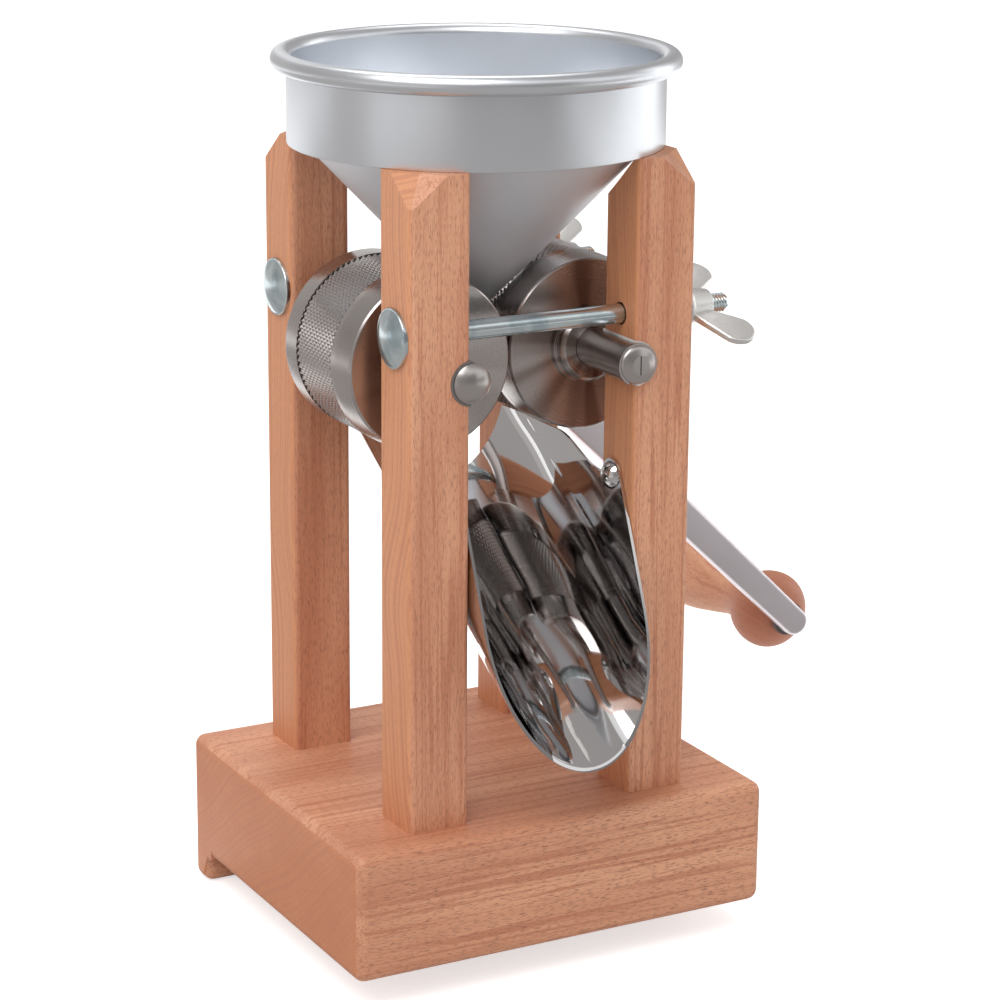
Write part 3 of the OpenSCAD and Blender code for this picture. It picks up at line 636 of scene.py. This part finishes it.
class FLAKER_OT_rollers(bpy.types.Operator):
    """Turn and knurl both rollers, with their collars, axles, bushes and ring"""

    bl_idname = "flaker.rollers"
    bl_label = "Rollers"

    def execute(self, context):
        s, c = context.scene.flaker_sizes, context.scene.flaker_finishes

        front, ring_depth = box("axle_right")[0][1], 0.0002 * MM
        slot_w, slot_l, slot_depth = 0.2 * MM, 2.9 * MM, 0.1 * MM

        def from_axle(x, y, z):
            """Distance from the nearer axle and a share of y, for rings on round walls too."""
            return ((abs(x) - AXLE_X) ** 2.0 + (z - AXLE_Z) ** 2.0) ** 0.5 + y * 0.7

        def about_axle(x, y, z):
            """Offset from the nearer axle, to the right and up."""
            return x + AXLE_X - x.above(0.0) * (2 * AXLE_X), z - AXLE_Z

        def fans(x, y, z):
            """Strength of the painted reflection: stronger on the right roller than on the left
            one.
            """
            return x.above(0.0) * 0.55 + 0.2

        def painted_slot_shade(x, y, z):
            """Upright line on the end of the right axle, painted near black as the shade in the
            cut across it.
            """
            return (abs(x - AXLE_X).below(slot_w) * y.below(front + slot_depth)
                    * abs(z - AXLE_Z).below(slot_l))

        # Roller steel carries painted reflections: dark brownish fan-shaped sectors round each
        # axle, on rollers, collars and spacers alike.
        finish = turned_metal("roller_steel", c.steel, 0.27, from_axle, 1.4 * MM, ring_depth,
                              about_axle, fans)
        # The right axle's end gets a near black upright line, painted shade for the cut across it,
        # which is not modelled.
        axle = turned_metal("axle_steel", c.steel, 0.3, lambda x, y, z: y, 1.5 * MM, ring_depth,
                            mark=painted_slot_shade)
        for side, body in (("left", "idler_roller"), ("right", "driven_roller")):
            low, high = box("roller_" + side)
            centre = ((low[0] + high[0]) / 2, low[1], AXLE_Z)
            long, groove, core = high[1] - low[1], 0.6 * MM, ROLLER_R - 1.2 * MM
            start, width = 12.4 * MM, 23 * MM
            stop = start + width
            band = np.linspace(start, stop, s.knurl_rows * 2 + 1)
            profile = np.vstack([
                rounded([[AXLE_BORE, 0], [ROLLER_R - 1.3 * MM, 0], [ROLLER_R - 0.7 * MM, 0.6 * MM],
                         [ROLLER_R, start * 0.75], [ROLLER_R, start - groove]],
                        [0, 0.15 * MM, 0.2 * MM, 1 * MM, 0]),
                [[core, start - groove + STEP], [core, start - STEP]],
                np.stack([np.full(len(band), ROLLER_R), band], -1),
                [[core, stop + STEP], [core, stop + groove]],
                rounded([[ROLLER_R, stop + groove + STEP], [ROLLER_R, long],
                         [AXLE_BORE, long]], [0, 0.6 * MM, 0]),
            ])
            around = s.knurl_around * 2
            u = np.linspace(0, s.knurl_around, around, endpoint=False)[None, :]
            v = ((profile[:, 1] - start) / width * s.knurl_rows)[:, None]
            ridge = np.minimum(*(1 - np.abs(2 * ((u + k * v) % 1) - 1) for k in (1, -1)))
            on_band = (np.abs(profile[:, 0] - ROLLER_R) < 1e-9) & (v[:, 0] > -1e-6)
            on_band &= v[:, 0] < s.knurl_rows + 1e-6
            cut = s.knurl_depth * (1 - ridge) * on_band[:, None]
            piece("knurled_roller_" + side,
                  [turned(profile, centre, "y", around, closed=True, cut=cut)], finish, body,
                  ["roller_" + side])
            collar_low, collar_high = box("collar_" + side)
            r, thick = (collar_high[0] - collar_low[0]) / 2, collar_high[1] - collar_low[1]
            neck_r, flange = r - 1 * MM, thick - 1.4 * MM
            ring = rounded([[AXLE_BORE, 0], [r - 2.2 * MM, 0], [neck_r, 1.2 * MM],
                            [neck_r, flange], [r, flange], [r, thick], [AXLE_BORE, thick]],
                           0.18 * MM)
            piece("turned_collar_" + side,
                  [turned(ring, (centre[0], collar_low[1], AXLE_Z), "y", closed=True)], finish,
                  body, ["collar_" + side])
        dress(finish, "spacer_left", "spacer_right")
        low, high = box("axle_left")
        r, long, dome = (high[0] - low[0]) / 2, high[1] - low[1], 2.4 * MM
        tail = rounded([[r, dome + 0.2 * MM], [r, long], [0.02 * r, long]], [0, 0.5 * MM, 0])
        piece("domed_axle", [turned(np.vstack([cap(r, dome, 26), tail]),
                                    (-AXLE_X, low[1], AXLE_Z), "y")],
              axle, "idler_roller", ["axle_left"])
        low, high = box("axle_right")
        ring_low, ring_high = box("retaining_ring")
        long, middle, core, step = high[1] - low[1], 0.1 * MM, r - 0.7 * MM, 0.02 * MM
        groove, groove_end = ring_low[1] - low[1], ring_high[1] - low[1]
        end = np.vstack([
            rounded([[middle, 0], [3 * MM, 0], [r - 0.55 * MM, 0.9 * MM], [r, 1.5 * MM],
                     [r, groove]], [0, 0.25 * MM, 0.8 * MM, 0.5 * MM, 0]),
            [[core, groove + step], [core, groove_end - step], [r, groove_end]],
            rounded([[r, groove + 2 * MM], [r, long], [middle, long]], [0, 0.6 * MM, 0])])
        piece("chamfered_axle", [turned(end, (AXLE_X, low[1], AXLE_Z), "y")], axle,
              "driven_roller", ["axle_right"])
        dress(axle, "retaining_ring")
        dress(plastic("white_plastic", c.bush), "bush_front_right", "bush_rear_left",
              "bush_rear_right")
        # Painted shade: the front left bush is dark grey for the shade round the left axle's end;
        # it is white plastic like the other bushes.
        dress(plastic("painted_shade_plastic", [0.16, 0.14, 0.13]), "bush_front_left")
        return {"FINISHED"}


class FLAKER_OT_clamps(bpy.types.Operator):
    """Make the mushroom-headed clamp bolts with their threads, washers and wing nuts"""

    bl_idname = "flaker.clamps"
    bl_label = "Clamp bolts"

    def execute(self, context):
        s, c = context.scene.flaker_sizes, context.scene.flaker_finishes
        finish = plated("zinc", c.zinc, 0.2, [0.46, 0.56, 0.6])
        casting = cast("cast_metal", c.casting)
        for end in ("front", "rear"):
            low, high = box("clamp_bolt_" + end)
            y, z, long = (low[1] + high[1]) / 2, (low[2] + high[2]) / 2, high[0] - low[0]
            head_r, head_h, brim = (high[2] - low[2]) / 2, 4.6 * MM, 1.2 * MM
            cap_r, cap_h, cap_foot = head_r - 0.5 * MM, 2.3 * MM, head_h - brim
            shank_end, thread_l, chamfer, around = 36 * MM, 35.9 * MM, 0.8 * MM, 72
            dome = cap(cap_r, cap_h, 40, 0.015) + [0, cap_foot - cap_h]
            edge = rounded([[cap_r + 0.02 * MM, cap_foot], [head_r, cap_foot], [head_r, head_h]],
                           [0, 0.45 * MM, 0])
            under = [[ROD_R, head_h], [ROD_R, long - shank_end]]
            thread_x = np.arange(long - thread_l, long - chamfer, s.thread_pitch / 10)
            thread = np.stack([np.full(len(thread_x), ROD_R), thread_x], -1)
            tip = [[ROD_R - chamfer, long], [0.1 * MM, long]]
            profile = np.vstack([dome, edge, under, thread, tip])
            turn = np.linspace(0, 1, around, endpoint=False)[None, :]
            screw = np.abs(2 * ((profile[:, 1:] / s.thread_pitch - turn) % 1) - 1)
            on_thread = np.zeros((len(profile), 1))
            on_thread[-len(thread) - len(tip) : -len(tip)] = 1
            piece("clamp_rod_" + end,
                  [turned(profile, (low[0], y, z), "x", around,
                          cut=s.thread_depth * screw * on_thread)],
                  finish, "stand", ["clamp_bolt_" + end])
            self.wing_nut(end, y, z, casting)
        dress(finish, "washer_front", "washer_rear")
        return {"FINISHED"}

    def wing_nut(self, end, y, z, casting):
        """Turned hub and two leaves on one line through the rod, turned about it."""
        foot_x, hub_h, foot_r = box("wing_nut_" + end)[0][0], 9.3 * MM, 6.6 * MM
        hub = rounded([[ROD_BORE, 0], [foot_r, 0], [foot_r, 1.2 * MM], [5.8 * MM, 1.8 * MM],
                       [4.6 * MM, hub_h], [ROD_BORE, hub_h]], 0.5 * MM)
        shells = [turned(hub, (foot_x, y, z), "x", 96, closed=True)]
        turn = math.radians({"front": 26, "rear": 32}[end])
        ear, ear_r = np.array([14.0, 12.0]) * MM, 6 * MM
        wing_t, wing_edge, wing_l = 2.6 * MM, 0.85 * MM, 20 * MM
        arc = np.radians(np.linspace(-50, 130, 30))
        tip = ear + ear_r * np.stack([np.cos(arc), np.sin(arc)], -1)
        foot = np.array([[3.6, 7.4], [3.6, 1.4], [6, 1.4]]) * MM
        outline = rounded(np.vstack([foot, tip]), [1 * MM] * 3 + [0] * len(tip))
        flat, faces = plate(outline, wing_t, wing_edge,
                            lambda outline: 1.12 - 0.3 * outline[:, 0] / wing_l)
        for way in (-1, 1):
            out = np.array([0, way * math.cos(turn), way * math.sin(turn)])
            across = np.cross([1, 0, 0], out)
            points = (np.array([foot_x, y, z]) + flat[:, :1] * out
                      + flat[:, 1:2] * np.array([1, 0, 0]) + (flat[:, 2:] - wing_t / 2) * across)
            shells.append((points, faces))
        piece("winged_nut_" + end, shells, casting, end + "_wing_nut",
              ["wing_nut_" + end], 50)


class FLAKER_OT_chute(bpy.types.Operator):
    """Bend the mirror-bright chute and set its screws"""

    bl_idname = "flaker.chute"
    bl_label = "Chute"

    def execute(self, context):
        s, c = context.scene.flaker_sizes, context.scene.flaker_finishes
        low, high = box("chute")
        screw_low, screw_high = box("chute_screw_right")
        r, sheet, slope = high[0], 0.9 * MM, math.radians(30)
        lip = np.array([low[1], low[2]])
        ear_r, tuck, rise_gap, rise_l = 5.2 * MM, 4.9 * MM, 7.7 * MM, 26 * MM
        levels, stations = 70, 170
        ear = np.array([(screw_low[1] + screw_high[1]) / 2, (screw_low[2] + screw_high[2]) / 2])
        lean = math.atan2(ear[1] - lip[1], ear[0] - lip[0])
        turn = np.array([[math.cos(slope), -math.sin(slope)], [math.sin(slope), math.cos(slope)]])

        def down_slope(points):
            """Side view (y, z) as distance up the slope and height square to it."""
            return (np.array(points) - lip) @ turn

        t = np.linspace(0, 1, 30)
        rim = np.stack([ear[0] + rise_gap + t * rise_l,
                        ear[1] + (high[2] - ear[1]) * (1 - np.cos(math.pi * t)) / 2], -1)
        foot_z = lip[1] + (high[1] - lip[0]) * math.tan(slope)
        back = down_slope(np.vstack([[ear[0], ear[1] - tuck / 2], rim, [high[1], high[2]],
                                     [high[1], foot_z]]))[::-1]
        front = down_slope([lip, ear + tuck * np.array([-math.sin(lean), math.cos(lean)])])
        hub_v, hub_n = down_slope([ear])[0]
        top = hub_n + ear_r - 1e-7

        def ends(n):
            """Where the outline starts and stops up the slope, at height n."""
            arc = np.sqrt(np.maximum(0, ear_r**2 - (n - hub_n) ** 2))
            on_ear = np.abs(n - hub_n) <= ear_r
            first = np.interp(n, front[:, 1], front[:, 0])
            last = np.interp(n, back[:, 1], back[:, 0])
            first = np.where(n > front[1, 1], hub_v - arc, first)
            last = np.where(on_ear, np.where(n > back[-1, 1], hub_v + arc,
                                             np.maximum(last, hub_v + arc)), last)
            return first, last

        wall = r + (top - r) * np.sin(np.linspace(math.pi / 2, 0, levels))
        bend = np.linspace(-math.pi / 2, math.pi / 2, 150)[1:-1]
        upright = np.full(levels, math.pi / 2)

        def skin(radius):
            """One side of the sheet: x = R sin b and n = r - R cos b round the bend, upright walls
            above it, v up the slope, and dents by a sum of three sine waves of v and the run
            round the sheet. The dents fade towards the rim and the lip."""
            x = np.r_[np.full(levels, -radius), radius * np.sin(bend), np.full(levels, radius)]
            n = np.r_[wall, r - radius * np.cos(bend), wall[::-1]]
            first, last = ends(n)
            v = first[:, None] + (last - first)[:, None] * np.linspace(0, 1, stations)
            angle = np.r_[-upright, bend, upright][:, None]
            run = np.r_[-(wall - r), r * bend, (wall - r)[::-1]][:, None]
            dents = (np.sin(v * 150 + run * 60) + 0.8 * np.sin(v * 95 - run * 150 + 1.3)
                     + 0.4 * np.sin(v * 240 + run * 110 + 0.4)) / 2.2
            below_ear, below_fade, lip_fade = 8 * MM, 14 * MM, 12 * MM
            calm = (np.clip((hub_n - below_ear - n)[:, None] / below_fade, 0, 1)
                    * np.clip((v - first[:, None]) / lip_fade, 0, 1))
            push = s.chute_wave * dents * calm
            wide = x[:, None] + push * np.sin(angle)
            high_n = n[:, None] - push * np.cos(angle)
            side = np.stack([v, np.broadcast_to(high_n, v.shape)], -1) @ turn.T + lip
            return np.concatenate([np.broadcast_to(wide, v.shape)[..., None], side], -1)

        outer, inner = skin(r), skin(r - sheet)
        loop = np.concatenate([outer, inner[:, ::-1]], 1)
        rows, columns = loop.shape[:2]
        faces = quads(rows, columns).tolist()
        faces += [list(range(columns))[::-1],
                  list(range((rows - 1) * columns, rows * columns))]
        f = Finish("mirror_steel")
        scratch = f.noise(f.place((900, 70, 70)), 1.0, 3.0)
        haze = f.noise(f.place(), 38, 0.0)
        finish = f.shade(Base_Color=f.mix(haze, colour(c.mirror),
                                          colour([v * 0.9 for v in c.mirror])),
                         Metallic=1.0, Roughness=0.03 + haze * 0.02 + scratch * 0.015,
                         Normal=f.bump(haze, 0.6 * MM, 0.35))
        piece("bent_chute", [(loop.reshape(-1, 3), faces)], finish, "stand",
              ["chute"], 45)

        bright = plated("chrome_screw", [0.75, 0.74, 0.73], 0.08)
        head_r, head_h, shank = 4.4 * MM, 3 * MM, 1.9 * MM
        for side, way in (("left", -1), ("right", 1)):
            low, high = box("chute_screw_" + side)
            reach = high[0] - low[0]
            profile = np.vstack([cap(head_r, head_h, 24),
                                 [[head_r * 0.99, head_h + 0.01 * MM], [shank, head_h],
                                  [shank, reach], [0.1 * MM, reach]]])
            points, faces = turned(profile, (0, 0, 0), "x", 72)
            start = high[0] if way < 0 else low[0]
            points = points * np.array([way, 1, 1]) + np.array([start, *ear])
            piece("domed_screw_" + side, [(points, faces)], bright, "stand",
                  ["chute_screw_" + side])
        return {"FINISHED"}


class FLAKER_OT_crank(bpy.types.Operator):
    """Shape the crank's bar with rounded edges and turn its handle"""

    bl_idname = "flaker.crank"
    bl_label = "Crank"

    def execute(self, context):
        s, c = context.scene.flaker_sizes, context.scene.flaker_finishes
        arm_low, arm_high = box("crank_arm")
        pin_low, pin_high = box("handle_bolt")
        pin = np.array([(pin_low[0] + pin_high[0]) / 2, (pin_low[2] + pin_high[2]) / 2])
        eye = np.array([AXLE_X, AXLE_Z])
        way = (pin - eye) / np.linalg.norm(pin - eye)
        back_y, thick, root_r, end_r = arm_high[1], 5.5 * MM, 6.6 * MM, 5.0 * MM
        root_at = 7 * MM  # inside the boss's wall, clear of the axle
        square = np.array([-way[1], way[0]])
        around = np.radians(np.linspace(-90, 90, 40))[:, None]
        root = root_at * way + root_r * np.array([[1], [-1]]) * square
        outline = np.vstack([pin - eye + end_r * (np.cos(around) * way + np.sin(around) * square),
                             root])
        flat, faces = plate(outline, thick, s.bar_round)
        bar_y = back_y - thick - STEP
        bar = np.stack([eye[0] + flat[:, 0], bar_y + flat[:, 2], eye[1] + flat[:, 1]], -1)
        boss_r, boss_l, boss_edge, bore_edge = 10 * MM, back_y - arm_low[1], 0.8 * MM, 0.2 * MM
        boss = rounded([[AXLE_BORE, 0], [boss_r, 0], [boss_r, boss_l], [AXLE_BORE, boss_l]],
                       [bore_edge, boss_edge, boss_edge, bore_edge])
        finish = brushed_bar("crank_aluminium", c.bar)
        piece("rounded_bar", [(bar, faces),
                              turned(boss, (eye[0], arm_low[1], eye[1]), "y", closed=True)],
              finish, "driven_roller", ["crank_arm"])

        low, high = box("crank_handle")
        long, ball_r, ball_y, ball_back = high[1] - low[1], 14.4 * MM, 11.4 * MM, 15 * MM
        angle = np.radians(np.linspace(-70, 46, 48))
        rise = np.where(angle < 0, ball_y, ball_back)
        ball = np.stack([ball_r * np.cos(angle), ball_y + rise * np.sin(angle)], -1)
        knots = np.array([[10.0, 22.2], [8.75, 28], [8.7, 34], [10.9, 46], [12.7, 57],
                          [13.2, 66], [12.6, 74], [10.6, 83], [7.8, 89.6], [5.7, long / MM]])
        grip = flowing(knots * MM, 12)
        seat_r, seat = 5.6 * MM, long - 8 * MM
        profile = np.vstack([ball, grip[1:], [[seat_r, seat], [ROD_BORE, seat], [ROD_BORE, 0]]])
        profile[:, 1] = np.clip(profile[:, 1], 0, long)
        wood = beech("handle_wood", "y", c.handle_light, c.handle_dark, c.beech_fleck, 0.5,
                     lambda x, y, z: 1.0 - y.between(low[1] + 17 * MM, low[1] + 34 * MM),
                     (0.44, 0.15, 0.085))
        piece("turned_handle",
              [turned(profile, (pin[0], low[1], pin[1]), "y", 160, closed=True)], wood, "handle",
              ["crank_handle"], 40)
        dress(plated("zinc_fitting", [v * 0.8 for v in c.zinc], 0.25), "handle_bolt",
              "grub_screw")
        dress(plated("dark_washer", [0.2, 0.19, 0.19], 0.4), "handle_washer")
        return {"FINISHED"}


class FLAKER_OT_studio(bpy.types.Operator):
    """Set the camera, the lamps, the white surroundings, the floor and the grey cards"""

    bl_idname = "flaker.studio"
    bl_label = "Studio"

    def execute(self, context):
        s = context.scene.flaker_stage
        self.camera(context, s)
        self.lamps(context, s)
        self.surroundings(context, s)
        context.scene.view_settings.view_transform = "Standard"
        return {"FINISHED"}

    def camera(self, context, s):
        """Camera where the photograph was taken from, as solved from the block and the posts."""
        place, turns = (-0.439, -0.826, 0.392), (28.49, 15.89, 0.47)
        yaw, pitch, roll = (math.radians(a) for a in turns)
        ahead = Vector((math.sin(yaw) * math.cos(pitch), math.cos(yaw) * math.cos(pitch),
                        -math.sin(pitch)))
        right = Vector((math.cos(yaw), -math.sin(yaw), 0))
        up = right.cross(ahead)
        right, up = (math.cos(roll) * right + math.sin(roll) * up,
                     math.cos(roll) * up - math.sin(roll) * right)
        data = bpy.data.cameras.new("camera")
        data.lens, data.sensor_width = s.lens, 36.0
        data.clip_start, data.clip_end = 0.01, 50.0
        made = bpy.data.objects.new("camera", data)
        turn = Matrix((right, up, -ahead)).transposed().to_4x4()
        made.matrix_world = Matrix.Translation(place) @ turn
        context.scene.collection.objects.link(made)
        context.scene.camera = made

    def lamps(self, context, s):
        """Three rectangular lamps (name, place, size, power) that look at the part's middle."""
        aim = Vector((0, 0, 0.13))
        for name, place, size, power in (("key", (-0.55, -0.35, 1.0), (0.9, 0.7), s.key),
                                         ("fill", (1.25, 0.25, 0.5), (0.5, 0.9), s.fill),
                                         ("top", (0.1, 0.45, 1.1), (0.8, 0.4), s.fill)):
            data = bpy.data.lights.new(name, "AREA")
            data.shape, data.size, data.size_y, data.energy = "RECTANGLE", *size, power
            made = bpy.data.objects.new(name, data)
            made.location = place
            made.rotation_euler = (aim - made.location).to_track_quat("-Z", "Y").to_euler()
            context.scene.collection.objects.link(made)

    def surroundings(self, context, s):
        """World that looks white and lights by s.ambient, white floor, and the cards: name,
        bearing from the front in degrees, distance, height, half of the size, share of s.flag."""
        world = bpy.data.worlds.new("white_room")
        world.use_nodes = True
        context.scene.world = world
        room = Nodes(world.node_tree)
        level = room.node("MapRange", None, {"Value": room.seen(), "To Min": s.ambient})
        room.end(room.node("Background", None, {"Color": (1, 1, 1, 1), "Strength": level}),
                 "World")

        half, floor_z = 3, CAD_BOX[0][2] - 0.1 * MM
        floor = self.card("floor", [(-half, -half, floor_z), (half, -half, floor_z),
                                    (half, half, floor_z), (-half, half, floor_z)])
        f = Finish("white_floor")
        glow_level = 0.62
        paper = f.node("BsdfDiffuse", None, {"Color": (0.8, 0.8, 0.8, 1)})
        glow = f.node("Emission", None, {"Color": (1, 1, 1, 1), "Strength": f.seen() * glow_level})
        floor.data.materials.append(f.surface(f.node("AddShader", None, {0: paper, 1: glow})))

        for name, bearing, reach, height, half, level in (
            ("flag_left", -105, 1.7, 0.4, (0.62, 0.8), 1.9),
            ("flag_near_left", -66, 1.7, 0.4, (0.6, 0.8), 1.8),
            ("flag_front", -27, 1.7, 0.4, (0.6, 0.9), 1.1),
            ("flag_near_right", 12, 1.7, 0.3, (0.6, 0.8), 0.9),
            ("flag_right", 50, 1.7, 0.05, (0.5, 0.4), 1.1),
            ("flag_behind", -160, 1.8, 0.3, (1.0, 0.7), 1.9),
            ("flag_behind_right", 128, 1.15, 0.42, (0.5, 0.42), 1.3),
        ):
            turn = math.radians(bearing)
            centre = Vector((reach * math.sin(turn), -reach * math.cos(turn), height))
            self.flag(name, centre, half, s.flag * level)
        self.flag("flag_above", Vector((0.5, 0.25, 1.25)), (1.2, 1.1), s.flag * 1.4)
        self.flag("flag_over_left", Vector((-1.2, 0.6, 0.95)), (1.4, 0.9), s.flag * 1.45)
        low = CAD_BOX[0][2] + 0.1 * MM
        self.flag("flag_low_front", Vector((-0.2, -0.8, low)), (0.8, 0.86), s.flag * 1.5, True)
        self.flag("flag_low_left", Vector((-0.9, 0.46, low)), (0.8, 0.4), s.flag * 1.6, True)

    def flag(self, name, centre, half, grey, level=False):
        """Card of an even grey, level or facing the part, that is seen by reflections alone."""
        turn = (Vector((0, 0, 0.15)) - centre).to_track_quat("-Z", "Y")
        corners = [Vector((u * half[0], v * half[1], 0))
                   for u, v in ((-1, -1), (1, -1), (1, 1), (-1, 1))]
        card = self.card(name, [centre + (c if level else turn @ c) for c in corners])
        card.visible_camera = card.visible_diffuse = card.visible_shadow = False
        card.visible_transmission = False
        f = Finish(name)
        card.data.materials.append(f.surface(
            f.node("Emission", None, {"Color": (1, 0.96, 0.94, 1), "Strength": grey})))

    def card(self, name, corners):
        mesh = bpy.data.meshes.new(name)
        mesh.from_pydata(corners, [], [(0, 1, 2, 3)])
        made = bpy.data.objects.new(name, mesh)
        bpy.context.scene.collection.objects.link(made)
        return made


class FLAKER_PT_panel(bpy.types.Panel):
    bl_label = "Grain flaker"
    bl_idname = "FLAKER_PT_panel"
    bl_space_type = "VIEW_3D"
    bl_region_type = "UI"
    bl_category = "Flaker"

    def draw(self, context):
        for operator in OPERATORS:
            self.layout.operator(operator.bl_idname)
        for group in ("flaker_sizes", "flaker_finishes", "flaker_stage"):
            held = getattr(context.scene, group)
            column = self.layout.column()
            for name in held.bl_rna.properties.keys():
                if name not in ("rna_type", "name"):
                    column.prop(held, name)


GROUPS = {"flaker_sizes": FlakerSizes, "flaker_finishes": FlakerFinishes,
          "flaker_stage": FlakerStage}
OPERATORS = (FLAKER_OT_stand, FLAKER_OT_hopper, FLAKER_OT_rollers, FLAKER_OT_clamps,
             FLAKER_OT_chute, FLAKER_OT_crank, FLAKER_OT_studio)


def register():
    for cls in (*GROUPS.values(), *OPERATORS, FLAKER_PT_panel):
        bpy.utils.register_class(cls)
    for name, group in GROUPS.items():
        setattr(bpy.types.Scene, name, PointerProperty(type=group))


def unregister():
    for name in GROUPS:
        delattr(bpy.types.Scene, name)
    for cls in (FLAKER_PT_panel, *reversed(OPERATORS), *GROUPS.values()):
        bpy.utils.unregister_class(cls)


def main():
    register()
    for operator in OPERATORS:
        group, name = operator.bl_idname.split(".")
        getattr(getattr(bpy.ops, group), name)()


if __name__ == "__main__":
    main()
